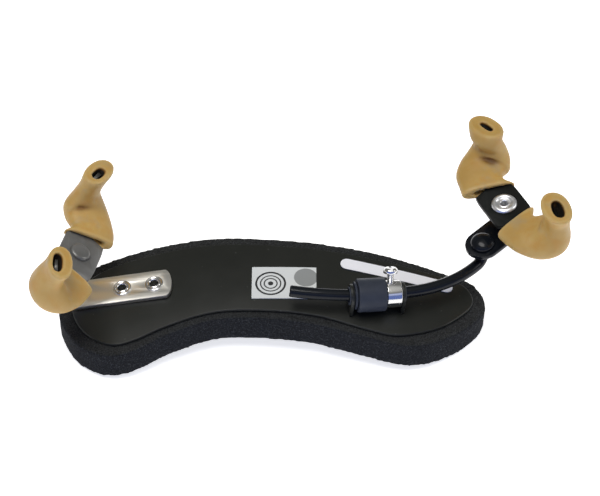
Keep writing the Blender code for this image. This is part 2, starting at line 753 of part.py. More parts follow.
def bent_rod(clamp_axis, paint):
    """The rod, on an empty at the middle of its sliding arc. Returns the shoulder of its upright end."""
    to_arc = Matrix.Translation((0, ROD_SLIDE_RADIUS * MM, 0))
    arc = empty_at("rod_arc_axis", to_arc, clamp_axis)
    up = clamp_axis.matrix_basis.to_3x3().inverted() @ ROD_END_AXIS
    points, ahead = rod_points()
    points = bent_up(points, ahead, up, ROD_END_RISE)
    shoulder = points[-1]
    radii = [ROD_RADIUS] * len(points) + [ROD_NECK] * 2
    points += [shoulder + up * 0.001, shoulder + up * (STRAP_THICKNESS + 2 * TOUCH_GAP)]
    centre = Vector((0, ROD_SLIDE_RADIUS, 0))
    rings = round_rings([point - centre for point in points], radii)
    skinned("bent_rod", rings, arc, paint, smooth=True)
    return clamp_axis.matrix_basis @ (shoulder * MM) / MM


def rod_dome(link, paint):
    """The round head that keeps the link on the rod's end."""
    bottom = STRAP_THICKNESS + 2 * TOUCH_GAP + 0.05
    profile = [(0.0, bottom), (DOME_RADIUS, bottom)]
    steps = 7
    for step in range(1, steps):
        angle = pi / 2 * step / steps
        profile.append((DOME_RADIUS * cos(angle), bottom + TOUCH_GAP + DOME_HEIGHT * sin(angle)))
    profile.append((0.0, bottom + TOUCH_GAP + DOME_HEIGHT))
    turned("rod_dome", profile, link, paint)


def right_side(clamp_axis, root, paint):
    """The bent rod, the dome on its upright end, the link that turns on it, and its fork."""
    seat = bent_rod(clamp_axis, paint["gloss"])
    across = ROD_END_AXIS.cross(Vector((cos(LINK_YAW), sin(LINK_YAW), 0))).normalized()
    link = empty_at("link_axis", frame_at(seat, across.cross(ROD_END_AXIS), across, ROD_END_AXIS), root)
    lift = TOUCH_GAP + STRAP_THICKNESS / 2
    path = c_strap_path(-LINK_HALF_WIDTH, lift, RIGHT_PIVOT_REACH, RIGHT_PIVOT_RISE, 0.0)
    strap = folded_strap("swivel_link", path, LINK_HALF_WIDTH, LINK_HALF_WIDTH, link, paint["gloss"])
    cut(strap, pin_cutter("link_bore", ROD_NECK + TOUCH_GAP, -0.5, 3.0, link))
    rod_dome(link, paint["gloss"])
    pivot = link.matrix_basis @ (Vector((RIGHT_PIVOT_REACH, 0, RIGHT_PIVOT_RISE)) * MM) / MM
    turn = fork_frame("right_fork_axis", pivot, ROD_END_AXIS, RIGHT_FORK_YAW, root)
    make_fork("right_fork", turn, 1, paint["dark_steel"])
    for name, end in (("right_sleeve_back", 1), ("right_sleeve_front", -1)):
        make_sleeve(name, turn, 1, end, paint["rubber"])
    eyelet = (eyelet_head(), paint["chrome"], paint["black"])
    fork_pivot("right_fork", "right_fork_eyelet", turn, strap, *eyelet)


def main():
    clear_scene()
    paint = {
        "plate": material("black_satin_metal", (0.022, 0.024, 0.021), 0.32, 0.6),
        "foam": material("black_foam", (0.022, 0.023, 0.026), 0.95, 0.0),
        "strap": material("satin_nickel", (0.55, 0.52, 0.46), 0.35, 1.0),
        "chrome": material("chrome", (0.80, 0.80, 0.80), 0.12, 1.0),
        "steel": material("dark_grey_metal", (0.09, 0.09, 0.085), 0.45, 0.8),
        "dark_steel": material("near_black_metal", (0.045, 0.045, 0.045), 0.4, 0.8),
        "rubber": material("tan_gum_rubber", (0.56, 0.38, 0.15), 0.5, 0.0),
        "black": material("satin_black_plastic", (0.02, 0.02, 0.022), 0.35, 0.0),
        "gloss": material("gloss_black_metal", (0.012, 0.012, 0.014), 0.12, 0.3),
        "silver": material("silver_grey_label", (0.55, 0.56, 0.55), 0.5, 0.0),
        "white": material("white_label", (0.80, 0.80, 0.78), 0.5, 0.0),
    }
    root = empty_at("assembly", Matrix.Translation(ASSEMBLY_PLACE * MM))
    plate, foam = arched_places(root, paint)
    left_side(root, plate, foam, paint)
    frame = clamp(root, plate, paint)
    right_side(frame, root, paint)


main()
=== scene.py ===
"""Looks of a violin shoulder rest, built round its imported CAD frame.

Shapes are in millimetres, in the part's own frame, and are turned into metres where a mesh is made.
"""

import json
from math import cos, pi, radians, sin

import bmesh
import bpy
import numpy as np
from mathutils import Matrix, Vector, noise


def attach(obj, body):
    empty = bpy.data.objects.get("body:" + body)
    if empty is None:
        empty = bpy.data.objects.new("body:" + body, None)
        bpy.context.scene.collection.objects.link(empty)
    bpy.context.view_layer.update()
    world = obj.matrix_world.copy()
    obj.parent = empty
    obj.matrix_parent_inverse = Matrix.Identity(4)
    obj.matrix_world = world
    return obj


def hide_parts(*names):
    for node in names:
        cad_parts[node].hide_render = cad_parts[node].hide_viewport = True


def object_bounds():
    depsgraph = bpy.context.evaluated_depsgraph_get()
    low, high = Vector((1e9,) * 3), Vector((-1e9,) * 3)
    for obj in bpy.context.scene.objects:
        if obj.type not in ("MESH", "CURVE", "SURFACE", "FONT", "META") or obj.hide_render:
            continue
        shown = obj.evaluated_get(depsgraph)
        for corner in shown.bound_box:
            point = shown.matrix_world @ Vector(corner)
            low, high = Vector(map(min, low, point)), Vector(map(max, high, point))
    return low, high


MM = 0.001
# Points of a mesh nearer than this are one point
WELD = 0.002

# Where the middle of the plate's top face lies
ASSEMBLY_PLACE = Vector((-10.67, 7.05, 18.69))

# Plate and pad
PLATE_THICKNESS = 1.3
ARCH_RADIUS = 420.0
PLATE_OUTLINE = [
    (-71.2, -22.0), (-67.0, -12.0), (-58.8, -6.2), (-44.4, -1.6), (-26.0, 1.7), (-8.0, 2.0),
    (19.0, -0.6), (44.0, -5.4), (63.0, -10.6), (70.2, -14.0), (72.3, -20.5), (68.2, -27.0),
    (58.5, -34.6), (45.0, -38.9), (33.0, -36.8), (16.0, -31.6), (-3.0, -29.4), (-21.0, -30.0),
    (-37.0, -35.4), (-48.0, -40.8), (-56.0, -42.2), (-64.5, -37.2), (-69.6, -29.8),
]
FOAM_THICKNESS = 11.3
FOAM_OVERHANG = 3.3
FOAM_END_OVERHANG = 1.4
FOAM_SHIFT = -0.3
# How the visible pad differs from the CAD's: wider, deeper at the back, and with its long edges moved
# backwards. Each pair is an x in the part's frame and a distance.
FOAM_GROWTH = 0.15
FOAM_BACK_GROWTH = 0.9
FOAM_FRONT = [
    (-95, 1.6), (-86, 1.1), (-79, -0.3), (-71, -0.7), (-60, -0.2), (-50, 0.7), (-40, 0.9),
    (-15, 0.85), (0, 0.45), (8, 0.5), (16, 1.1), (24, 1.2), (30, 0.8), (37, -0.6), (44, -1.4),
    (52, -0.9), (60, -0.7), (70, -0.6),
]
FOAM_BACK = [(30, 0.0), (43, -0.7), (50, -1.1), (62, -0.6)]
# The strip along the pad's middle where the front's moves give way to the back's
FOAM_MIDDLE_STRIP = 14
FOAM_GAP = 0.1
FOAM_SPARE = 0.15
FOAM_VOXEL = 0.6
# Each pair: how many lumps there are to the millimetre, and their height
FOAM_LUMPS = ((0.8, 0.13), (0.07, 0.2))

# Straps, forks and rivets
STRAP_THICKNESS = 1.5
STRAP_YAW = radians(184.0)
STRAP_END = Vector((-35.6, -16.7))
STRAP_FLAT_MIDDLE = 17.0
STRAP_RIVETS = {"strap_rivet_inner": 6.3, "strap_rivet_outer": 17.9}
FORK_HALF_THICKNESS = 0.8
LEFT_PIVOT_REACH = 29.3
LEFT_PIVOT_RISE = 22.7
LEFT_TAB_TILT = radians(37.0)
LEFT_FORK_YAW = radians(16.0)
RIGHT_PIVOT_REACH = 11.7
RIGHT_PIVOT_RISE = 12.6
RIGHT_FORK_YAW = radians(-25.5)
# Half sections of the forks' pivot heads: radius, and height over the fork
LEFT_RIVET = [
    (0, 1.42), (1.6, 1.40), (2.9, 1.28), (3.55, 0.9), (3.7, 0.35), (3.66, 0), (1.9, 0),
    (1.9, -5), (0, -5),
]
RIGHT_EYELET = [
    (1.2, -5), (1.2, -1.4), (1.3, 0.3), (1.5, 0.55), (1.75, 0.6), (2.05, 0.38), (2.5, 0.50),
    (3.1, 0.98), (3.7, 1.02), (4.3, 0.66), (4.62, 0.18), (4.58, 0), (1.9, 0), (1.9, -5),
]

# Clamp
CLAMP_MIDDLE = Vector((36.8, -26.6))
CLAMP_YAW = radians(8.0)
CLAMP_HEIGHT = 6.5
EAR_SPAN = 18.4
EAR_THICKNESS = 1.2
TOUCH_GAP = 0.3
BUSH_RADIUS = 3.3
BUSH_BORE = 2.6
BUSH_END = 0.4
ROLLER_RADIUS = 6.0
ROLLER_LENGTH = 10.0
COLLAR_RADIUS = 4.9
THRUST_WIDTH = 0.8
THRUST_RADIUS = 4.9
SCREW_LEAN = radians(33.0)
SCREW_FROM_ROLLER = 1.75
SCREW_RADIUS = 1.3
SCREW_HEAD_BASE = 7.7
SCREW_HEAD_RADIUS = 2.6
SCREW_HEAD_HEIGHT = 2.1
SCREW_SLOT_WIDTH = 0.9
SCREW_SLOT_DEPTH = 1.0
THREAD_PITCH = 0.45
THREAD_DEPTH = 0.16

# Rod and link
ROD_RADIUS = 2.1
ROD_SLIDE_RADIUS = 130.0
ROD_LEFT_LENGTH = 31.0
ROD_RIGHT_LENGTH = 12.8
ROD_TURN_RADIUS = 47.0
ROD_TURN_LENGTH = 28.5
ROD_END_BEND = 3.6
ROD_END_RISE = 2.4
ROD_END_AXIS = Vector((-0.122, 0.0, 0.993)).normalized()
ROD_NECK = 1.6
ROD_CHAMFER = 0.35
ROD_SIDES = 40
DOME_RADIUS = 4.4
DOME_HEIGHT = 2.5
LINK_YAW = radians(41.0)

# Fork arm stations: place (outward, along, up), heading and pitch in degrees, steel half width
ARM = [
    (0.3, 8.6, 0, 15, 0, 7.0),
    (1.0, 12.5, 0, 20, 0, 5.2),
    (2.2, 16.4, 0, 28, 0, 4.7),
    (4.2, 20.0, 0.4, 40, 16, 4.4),
    (6.2, 22.3, 2.6, 54, 50, 4.0),
    (7.2, 23.1, 6.6, 66, 76, 3.6),
    (7.6, 23.9, 11.0, 72, 82, 3.5),
    (7.8, 25.1, 15.6, 75, 82, 3.5),
]
# Rubber sleeve at those stations: half width, half thickness, the shifts of its middle outwards and
# up, and how square the ring is, from 1 for an ellipse down to a box.
SLEEVE = [
    (9.2, 2.9, -0.6, 0, 0.72),
    (7.75, 3.2, -2.15, -0.1, 0.80),
    (8.9, 4.0, -1.1, -0.2, 0.85),
    (8.9, 5.4, -0.6, -0.8, 0.90),
    (8.0, 6.2, -0.2, -1.0, 0.95),
    (6.6, 4.9, 0, -0.4, 1),
    (6.3, 4.2, 0, 0.5, 0.95),
    (7.4, 4.85, 0, 0.65, 0.92),
]
# How each stretched sleeve differs there: station: (outward, along, up, half width, half thickness,
# the two shifts), where values left out are 0. Then its hole's half width and half thickness.
SLEEVE_FIT = {
    "left_sleeve_back": ({
        0: (0, 0, 0, 0.4, 0, -0.4), 1: (0, 0, 0, 0.4, 0, -0.4),
        2: (0, 0, 0, -0.4, 0, -0.4), 3: (0, 0, 0, -0.5, 0, -0.5),
        4: (0, 0, 0, 0, -0.6, 0, 0.4), 5: (0, 0, 0, 0, -0.8),
        6: (0.2, 0, 0, 0.3, -0.4, -0.3, -0.4), 7: (-0.3, -0.15, 0.3, 0.9, -0.3, -1.05, -1.1),
    }, (3.7, 1.8)),
    "left_sleeve_front": ({
        0: (-0.4, 2.2), 1: (-0.5, 2.0), 2: (-0.7, 1.6), 3: (-0.9, 1.4), 4: (-0.9, 1.5),
        5: (-0.5, 1.2), 6: (-0.2, 0.9), 7: (0, 0.7, 0.3, 0.3, -0.45, 0.3, 0.45),
    }, (4.2, 1.8)),
    "right_sleeve_back": ({
        0: (0, 0, 0, 0.8, 0, -0.8), 1: (0, 0, 0, 0.5, 0, -0.7), 2: (0, 0, 0, -0.3, 0, -1.7),
        3: (0, 0, 0, 0.3, 0, -0.5), 6: (0, 0, -0.4, 0, 0.9, 0, 0.9),
        7: (-0.5, 0, -0.7, 0, 0.3, 0, -0.8),
    }, (2.9, 1.15)),
    "right_sleeve_front": ({
        0: (0, 0), 2: (0, 0, 0, 0.5, 0, 0.5), 3: (0.6,), 4: (0.6,), 5: (0.5, 0, 0.4),
        6: (0.3, 0, 0.9, 0, 0.5, 0, -0.5), 7: (0.2, 0, 1.25, 0.7, 0.6, 0.7, -0.3),
    }, (4.1, 2.2)),
}
# The fold where a back sleeve's prong stands up from its foot: its two ends on a sleeve that isn't
# stretched, how far outwards it lies on each sleeve that has one, the side that it is on, and its size
FOLD_START = Vector((2.3, 20.7, 4.9))
FOLD_END = Vector((6.4, 15.4, 4.4))
FOLD_SHIFT = {"left_sleeve_back": 1.8, "right_sleeve_back": 0.0}
FOLD_SIDE = Vector((-0.62, -0.45, 0.64))
FOLD_WIDTH = 0.9
FOLD_DEPTH = 0.9
# How far towards their middle line the hidden steel and the channel round it are drawn in. It starts
# over millimetres from the sleeve's mouth, or shares of the sleeve, and ends over shares of them.
ARM_SLIMMING = 0.75
STEEL_START = (9.2, 11.0)
STEEL_END = (0.85, 0.97)
CHANNEL_START = (0.08, 0.25)
CHANNEL_END = (0.75, 0.95)
# The rubber's distance from the steel, and how much smaller its last rings are at a rounded lip
SLEEVE_GAP = 0.3
LIP_ROUNDING = (0.55, 0.22, 0.06)
SLEEVE_STEPS = 10
SLEEVE_POINTS = 56
SLEEVE_VOXEL = 0.42
# How many rings down from the tip the rubber's hole narrows to fit the steel, and how far round the
# hole the painted shade inside it reaches
TIP_HOLE_STEPS = 9
HOLE_MARGIN = 0.9

EMBLEM_SIZE = (23.1, 14.8)
EMBLEM_MIDDLE = (4.5, -17.0)
EMBLEM_RINGS = (-0.3, -17.4)
RINGS_RADIUS = 6.0
# Where the printed rings start and end, and the dot's edge, as shares of that radius
RINGS = ((0.34, 0.42), (0.56, 0.64), (0.80, 0.92))
RINGS_DOT = 0.16
EMBLEM_DISC = (12.3, -14.4)
DISC_RADIUS = 4.2
SIZE_LABEL_SIZE = (41.2, 4.8)
SIZE_LABEL_MIDDLE = (45.0, -11.1)
SIZE_LABEL_YAW = radians(-12.3)
LABEL_TOP = 0.4
LABEL_THICKNESS = 0.25

# How far the edges are rounded on each piece made from its CAD node
EDGE_WIDTHS = {
    "foot_strap": 0.28, "swivel_link": 0.38, "left_fork": 0.24, "right_fork": 0.24,
    "hinge_ear_left": 0.22, "hinge_ear_right": 0.22,
    "left_fork_washer": 0.1, "right_fork_washer": 0.1,
}

# Floor, in millimetres: half its size and how far it lies under the pad. Then its own light.
FLOOR_HALF_SIZE = 3000
FLOOR_DROP = 0.02
FLOOR_GLOW = 0.69
# Camera: its distance is in metres, and it aims this many millimetres right of the plate's middle
CAMERA_ELEVATION = radians(48.0)
CAMERA_DISTANCE = 0.75
CAMERA_AIM = 10.2
CAMERA_LENS = 123.75


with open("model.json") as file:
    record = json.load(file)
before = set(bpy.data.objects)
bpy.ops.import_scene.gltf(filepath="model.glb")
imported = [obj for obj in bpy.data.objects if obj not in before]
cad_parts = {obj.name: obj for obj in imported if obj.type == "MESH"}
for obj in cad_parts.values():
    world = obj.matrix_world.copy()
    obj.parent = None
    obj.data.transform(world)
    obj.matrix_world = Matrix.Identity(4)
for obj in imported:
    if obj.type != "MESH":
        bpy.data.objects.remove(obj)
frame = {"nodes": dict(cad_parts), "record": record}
cad_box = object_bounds()
record = frame["record"]
NODE_SLOT = {part["node"]: part["material_slot"] for part in record["subparts"]}
NODE_BODY = {node: body for body, nodes in record["behaviour"]["bodies"].items() for node in nodes}


# -------- frames


def frame_at(place, x_axis, y_axis, z_axis):
    """A frame in millimetres with these axes."""
    return Matrix.Translation(place) @ Matrix((x_axis, y_axis, z_axis)).transposed().to_4x4()


def arch(x):
    """Height of the plate's top face below its crown."""
    return -x * x / (2 * ARCH_RADIUS)


def strap_frame():
    """X along the strap, sloping with the plate under it, and Z square to it."""
    middle = STRAP_END.x + STRAP_FLAT_MIDDLE * cos(STRAP_YAW)
    slope = -middle / ARCH_RADIUS
    height = arch(middle) + slope * (STRAP_END.x - middle)
    along = Vector((cos(STRAP_YAW), sin(STRAP_YAW), slope * cos(STRAP_YAW))).normalized()
    across = Vector((0, 0, 1)).cross(along).normalized()
    place = Vector((STRAP_END.x, STRAP_END.y, height)) + ASSEMBLY_PLACE
    return frame_at(place, along, across, along.cross(across))


def clamp_frame():
    """X along the bush, at the clamp's middle, and Z square to the plate."""
    x, y = CLAMP_MIDDLE
    along = Vector((cos(CLAMP_YAW), sin(CLAMP_YAW), -x / ARCH_RADIUS)).normalized()
    across = Vector((0, 0, 1)).cross(along).normalized()
    up = along.cross(across)
    place = Vector((x, y, arch(x))) + up * CLAMP_HEIGHT + ASSEMBLY_PLACE
    return frame_at(place, along, across, up)


def fork_frame(pivot, axis, yaw):
    """Z along a fork's pivot, Y to the back, X to the right."""
    back = Vector((sin(yaw), cos(yaw), 0.0))
    back = (back - axis * back.dot(axis)).normalized()
    return frame_at(pivot, back.cross(axis), back, axis)


def rod_line():
    """The rod's middle line in the clamp's frame: two arcs, a bend up and a short upright end."""
    up = CLAMP.to_3x3().inverted() @ ROD_END_AXIS
    heading = -ROD_LEFT_LENGTH / ROD_SLIDE_RADIUS
    place = Vector((ROD_SLIDE_RADIUS * sin(heading), ROD_SLIDE_RADIUS * (1 - cos(heading)), 0))
    points = [place.copy()]
    for length, radius, steps in (
        (ROD_LEFT_LENGTH + ROD_RIGHT_LENGTH, ROD_SLIDE_RADIUS, 36),
        (ROD_TURN_LENGTH, ROD_TURN_RADIUS, 30),
    ):
        turn = length / steps / radius
        for _ in range(steps):
            ahead = Vector((cos(heading + turn / 2), sin(heading + turn / 2), 0))
            place += ahead * 2 * radius * sin(turn / 2)
            heading += turn
            points.append(place.copy())
    ahead = Vector((cos(heading), sin(heading), 0))
    steps = 14
    turn = ahead.angle(up) / steps
    half_turn = Matrix.Rotation(turn / 2, 3, ahead.cross(up).normalized())
    for _ in range(steps):
        ahead.rotate(half_turn)
        place = place + ahead * 2 * ROD_END_BEND * sin(turn / 2)
        ahead.rotate(half_turn)
        points.append(place.copy())
    points.append(place + up * ROD_END_RISE)
    return points, up


STRAP = strap_frame()
CLAMP = clamp_frame()
ROD_POINTS, ROD_UP = rod_line()
_across = ROD_END_AXIS.cross(Vector((cos(LINK_YAW), sin(LINK_YAW), 0))).normalized()
LINK = frame_at(CLAMP @ ROD_POINTS[-1], _across.cross(ROD_END_AXIS), _across, ROD_END_AXIS)
LEFT_FORK = fork_frame(
    STRAP @ Vector((LEFT_PIVOT_REACH, 0, LEFT_PIVOT_RISE)),
    STRAP.to_3x3() @ Vector((-sin(LEFT_TAB_TILT), 0, cos(LEFT_TAB_TILT))),
    LEFT_FORK_YAW,
)
RIGHT_FORK = fork_frame(
    LINK @ Vector((RIGHT_PIVOT_REACH, 0, RIGHT_PIVOT_RISE)), ROD_END_AXIS, RIGHT_FORK_YAW
)
BUSH = CLAMP @ Matrix.Rotation(radians(90), 4, "Y")
# Each fork's frame, and which way its X points outwards
FORKS = {"left": (LEFT_FORK, -1), "right": (RIGHT_FORK, 1)}


# -------- mesh tools


def spline(points, steps, closed=False):
    """Points on a Catmull-Rom curve through tuples of any length."""
    made = []
    count = len(points)
    for span in range(count if closed else count - 1):
        picked = []
        for offset in (-1, 0, 1, 2):
            index = span + offset
            index = index % count if closed else min(max(index, 0), count - 1)
            picked.append(points[index])
        for step in range(steps):
            t = step / steps
            made.append(tuple(
                0.5 * (2 * b + (c - a) * t + (2 * a - 5 * b + 4 * c - d) * t * t
                       + (3 * b - a - 3 * c + d) * t ** 3)
                for a, b, c, d in zip(*picked)
            ))
    if not closed:
        made.append(tuple(points[-1]))
    return made


def finish_mesh(name, bm, matrix=None, sharp=35):
    """The object of a bmesh in millimetres, placed by matrix, shaded smooth between sharp edges."""
    bmesh.ops.recalc_face_normals(bm, faces=bm.faces)
    place = Matrix.Diagonal((MM, MM, MM, 1.0)) @ (matrix or Matrix.Identity(4))
    bmesh.ops.transform(bm, matrix=place, verts=bm.verts)
    mesh = bpy.data.meshes.new(name)
    bm.to_mesh(mesh)
    bm.free()
    mesh.shade_smooth()
    mesh.set_sharp_from_angle(angle=radians(sharp))
    made = bpy.data.objects.new(name, mesh)
    bpy.context.scene.collection.objects.link(made)
    return made


def rounded(profile, radius, steps=4):
    """The profile with each inner corner rounded, as far as its neighbours leave room."""
    points = [Vector(point) for point in profile]
    made = [points[0]]
    for before, corner, after in zip(points, points[1:], points[2:]):
        back = before - corner
        ahead = after - corner
        reach = min(radius, back.length * 0.45, ahead.length * 0.45)
        start = corner + back.normalized() * reach
        end = corner + ahead.normalized() * reach
        for step in range(steps + 1):
            t = step / steps
            made.append(start * (1 - t) ** 2 + corner * 2 * t * (1 - t) + end * t ** 2)
    made.append(points[-1])
    return [tuple(point) for point in made]


def turned(name, profile, matrix, corner, steps=72, closed=False):
    """A solid of revolution about local Z, with its corners rounded."""
    if closed:
        middle = (Vector(profile[-1]) + Vector(profile[0])) / 2
        profile = [tuple(middle)] + list(profile) + [tuple(middle)]
    line = rounded(profile, corner)
    bm = bmesh.new()
    verts = [bm.verts.new((radius, 0.0, height)) for radius, height in line]
    edges = [bm.edges.new(pair) for pair in zip(verts, verts[1:])]
    bmesh.ops.spin(bm, geom=verts + edges, cent=(0, 0, 0), axis=(0, 0, 1), angle=2 * pi, steps=steps)
    bmesh.ops.remove_doubles(bm, verts=bm.verts, dist=WELD)
    return finish_mesh(name, bm, matrix)


def bridge(bm, loops):
    """Faces between each ring of vertices and the next."""
    for near, far in zip(loops, loops[1:]):
        for index, corner in enumerate(near):
            following = (index + 1) % len(near)
            bm.faces.new((corner, near[following], far[following], far[index]))


def skinned(name, rings, matrix, join_ends=False, sharp=35):
    """Faces between rings of points: capped at both ends, or joined from last ring to first."""
    bm = bmesh.new()
    loops = [[bm.verts.new(point) for point in ring] for ring in rings]
    if join_ends:
        loops.append(loops[0])
    else:
        bm.faces.new(loops[0])
        bm.faces.new(loops[-1])
    bridge(bm, loops)
    return finish_mesh(name, bm, matrix, sharp)


def with_modifiers(obj, *modifiers):
    """The object with its modifiers applied. Each is (type, {setting: value})."""
    for kind, settings in modifiers:
        modifier = obj.modifiers.new(kind.lower(), kind)
        for key, value in settings.items():
            setattr(modifier, key, value)
    graph = bpy.context.evaluated_depsgraph_get()
    mesh = bpy.data.meshes.new_from_object(obj.evaluated_get(graph))
    obj.modifiers.clear()
    old = obj.data
    obj.data = mesh
    bpy.data.meshes.remove(old)
    return obj


def remeshed(obj, voxel, passes):
    """The object as one even skin, with faces about a voxel wide, smoothed a little."""
    return with_modifiers(
        obj,
        ("REMESH", {"mode": "VOXEL", "voxel_size": voxel * MM}),
        ("SMOOTH", {"factor": 0.5, "iterations": passes}),
    )


def vertex_vectors(mesh, name):
    """Every vertex's place ("co", in metres) or "normal", as rows of an array."""
    values = np.zeros(len(mesh.vertices) * 3)
    mesh.vertices.foreach_get(name, values)
    return values.reshape(-1, 3)


def move_vertices(mesh, places):
    mesh.vertices.foreach_set("co", places.astype(np.float32).ravel())
    mesh.update()


def move_above_floor(mesh, places):
    places[:, 2] = places[:, 2].clip(cad_box[0][2])
    move_vertices(mesh, places)


def neighbour_mean(mesh, values):
    """The mean of each vertex's neighbours, for values of one or more columns."""
    edges = np.zeros(len(mesh.edges) * 2, np.int32)
    mesh.edges.foreach_get("vertices", edges)
    edges = edges.reshape(-1, 2)
    total = np.zeros_like(values)
    count = np.zeros(len(values))
    for near, far in ((0, 1), (1, 0)):
        np.add.at(total, edges[:, near], values[edges[:, far]])
        np.add.at(count, edges[:, near], 1)
    return total / np.maximum(count, 1).reshape((-1,) + (1,) * (values.ndim - 1))


def mark(mesh, name, values):
    """A vertex attribute that a material can read."""
    mesh.attributes.new(name, "FLOAT", "POINT").data.foreach_set("value", values.astype(np.float32))


def mark_hollow_shading(mesh):
    """Marks hollows with positive and ridges with negative values, spread over neighbours, for painted
    shade in hollows and a painted highlight on ridges.
    """
    places = vertex_vectors(mesh, "co")
    step = neighbour_mean(mesh, places) - places
    values = (step * vertex_vectors(mesh, "normal")).sum(1) / MM
    for _ in range(8):
        values = (values + neighbour_mean(mesh, values)) / 2
    mark(mesh, "hollow_shading", values)


def dress(obj, node, paint=None):
    """obj stands for this CAD node, with its body and slot, and its slot's paint unless given one."""
    slot = NODE_SLOT[node]
    obj.data.materials.clear()
    obj.data.materials.append(PAINT[paint or slot])
    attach(obj, NODE_BODY[node])
    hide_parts(node)
    return obj


def refined(node, width):
    """A copy of a CAD node with its edges rounded over."""
    bm = bmesh.new()
    bm.from_mesh(frame["nodes"][node].data)
    bmesh.ops.remove_doubles(bm, verts=bm.verts, dist=WELD * MM)
    bmesh.ops.dissolve_limit(
        bm, angle_limit=radians(0.6), verts=bm.verts, edges=bm.edges, use_dissolve_boundaries=False
    )
    bmesh.ops.scale(bm, vec=(1 / MM, 1 / MM, 1 / MM), verts=bm.verts)
    made = finish_mesh(node + "_look", bm, sharp=180)
    with_modifiers(made, ("BEVEL", {
        "width": width * MM, "segments": 2, "limit_method": "ANGLE",
        "angle_limit": radians(34), "harden_normals": True,
    }))
    made.data.set_sharp_from_angle(angle=radians(50))
    return dress(made, node)


# -------- materials


def new_material(name, colour, roughness, **sockets):
    """A material with these values. A socket's name has _ for each space."""
    made = bpy.data.materials.new(name)
    made.use_nodes = True
    shader = made.node_tree.nodes["Principled BSDF"]
    shader.inputs["Base Color"].default_value = (*colour, 1.0)
    shader.inputs["Roughness"].default_value = roughness
    for key, value in sockets.items():
        shader.inputs[key.replace("_", " ")].default_value = value
    return made


def add(material, kind, settings=None, **links):
    """A node of a material or a world, with settings (attributes and input values) and links."""
    tree = material.node_tree
    node = tree.nodes.new("ShaderNode" + kind)
    for key, value in (settings or {}).items():
        if key in node.inputs:
            node.inputs[key].default_value = value
        else:
            setattr(node, key, value)
    for key, socket in links.items():
        tree.links.new(socket, node.inputs[key])
    return node


def feed(material, socket_name, socket):
    """Links a socket to one of the material's own."""
    tree = material.node_tree
    tree.links.new(socket, tree.nodes["Principled BSDF"].inputs[socket_name])


def place_of(material, stretch=None):
    """Object coordinates, in metres, stretched by a factor along each axis."""
    coordinates = add(material, "TexCoord").outputs["Object"]
    if stretch is None:
        return coordinates
    return add(material, "Mapping", {"Scale": stretch}, Vector=coordinates).outputs["Vector"]


def grain(material, scale, detail, roughness=0.55, stretch=None):
    """A noise value from 0 to 1 with this many features to the metre."""
    settings = {"Scale": scale, "Detail": detail, "Roughness": roughness}
    return add(material, "TexNoise", settings, Vector=place_of(material, stretch)).outputs["Fac"]


def spread(material, socket, low, high, to_low=0.0, to_high=1.0):
    """The socket's values from low to high, spread over to_low to to_high."""
    settings = {"From Min": low, "From Max": high, "To Min": to_low, "To Max": to_high}
    return add(material, "MapRange", settings, Value=socket).outputs["Result"]


def mixed(material, factor, first, second):
    """A colour between two, each a colour or a socket."""
    tree = material.node_tree
    node = tree.nodes.new("ShaderNodeMix")
    node.data_type = "RGBA"
    tree.links.new(factor, node.inputs["Factor"])
    for name, value in (("A", first), ("B", second)):
        socket = next(s for s in node.inputs if s.name == name and s.type == "RGBA")
        if isinstance(value, bpy.types.NodeSocket):
            tree.links.new(value, socket)
        else:
            socket.default_value = (*value, 1.0)
    return next(s for s in node.outputs if s.type == "RGBA")


def tinted(material, colour, value, low, high, most, tint):
    """The colour, turned towards a tint by 0 to most as a socket's value goes from low to high."""
    return mixed(material, spread(material, value, low, high, 0.0, most), colour, tint)


def times(material, first, second):
    """The product of a socket's value and another's, or a number."""
    node = add(material, "Math", {"operation": "MULTIPLY"})
    material.node_tree.links.new(first, node.inputs[0])
    if isinstance(second, bpy.types.NodeSocket):
        material.node_tree.links.new(second, node.inputs[1])
    else:
        node.inputs[1].default_value = second
    return node.outputs["Value"]


def bumped(material, height, strength, distance, under=None):
    """A bump on the surface, distance in millimetres, over another bump's normal if given."""
    links = {"Height": height} if under is None else {"Height": height, "Normal": under}
    settings = {"Strength": strength, "Distance": distance * MM}
    return add(material, "Bump", settings, **links).outputs["Normal"]


def specks(material, scale, size, threshold):
    """Rare small round specks: 1 inside one, 0 elsewhere."""
    voronoi = add(material, "TexVoronoi", {"Scale": scale}, Vector=place_of(material))
    near = spread(material, voronoi.outputs["Distance"], size, size * 0.6)
    chance = add(material, "SeparateColor", None, Color=voronoi.outputs["Color"])
    some = spread(material, chance.outputs["Red"], threshold, threshold + 0.01)
    return times(material, near, some)


def textured(name, base, roughness, tone, sheen, tooth, **sockets):
    """A material whose colour, roughness and surface each follow a grain.

    tone is a grain and two colours, sheen a grain, its value where roughest and two roughnesses, and
    tooth a grain, a strength and a height in millimetres.
    """
    made = new_material(name, base, roughness, **sockets)
    tone_grain, dark, light = tone
    feed(made, "Base Color", mixed(made, grain(made, *tone_grain), dark, light))
    sheen_grain, high, smooth, rough = sheen
    feed(made, "Roughness", spread(made, grain(made, *sheen_grain), 0.3, high, smooth, rough))
    tooth_grain, strength, height = tooth
    feed(made, "Normal", bumped(made, grain(made, *tooth_grain), strength, height))
    return made


def colour_of(material):
    """The socket that feeds a material's colour."""
    shader = material.node_tree.nodes["Principled BSDF"]
    return shader.inputs["Base Color"].links[0].from_socket


def plate_paint():
    """Black satin with a few specks of dust."""
    made = textured(
        "black_satin_metal", (0.012, 0.013, 0.011), 0.36, Specular_IOR_Level=0.33,
        tone=((45, 3), (0.010, 0.011, 0.009), (0.017, 0.018, 0.015)),
        sheen=((90, 5), 0.7, 0.32, 0.42),
        tooth=((1500, 2), 0.10, 0.10),
    )
    dust = specks(made, 420, 0.16, 0.86)
    feed(made, "Base Color", tinted(made, colour_of(made), dust, 0, 1, 0.10, (0.25, 0.25, 0.24)))
    return made


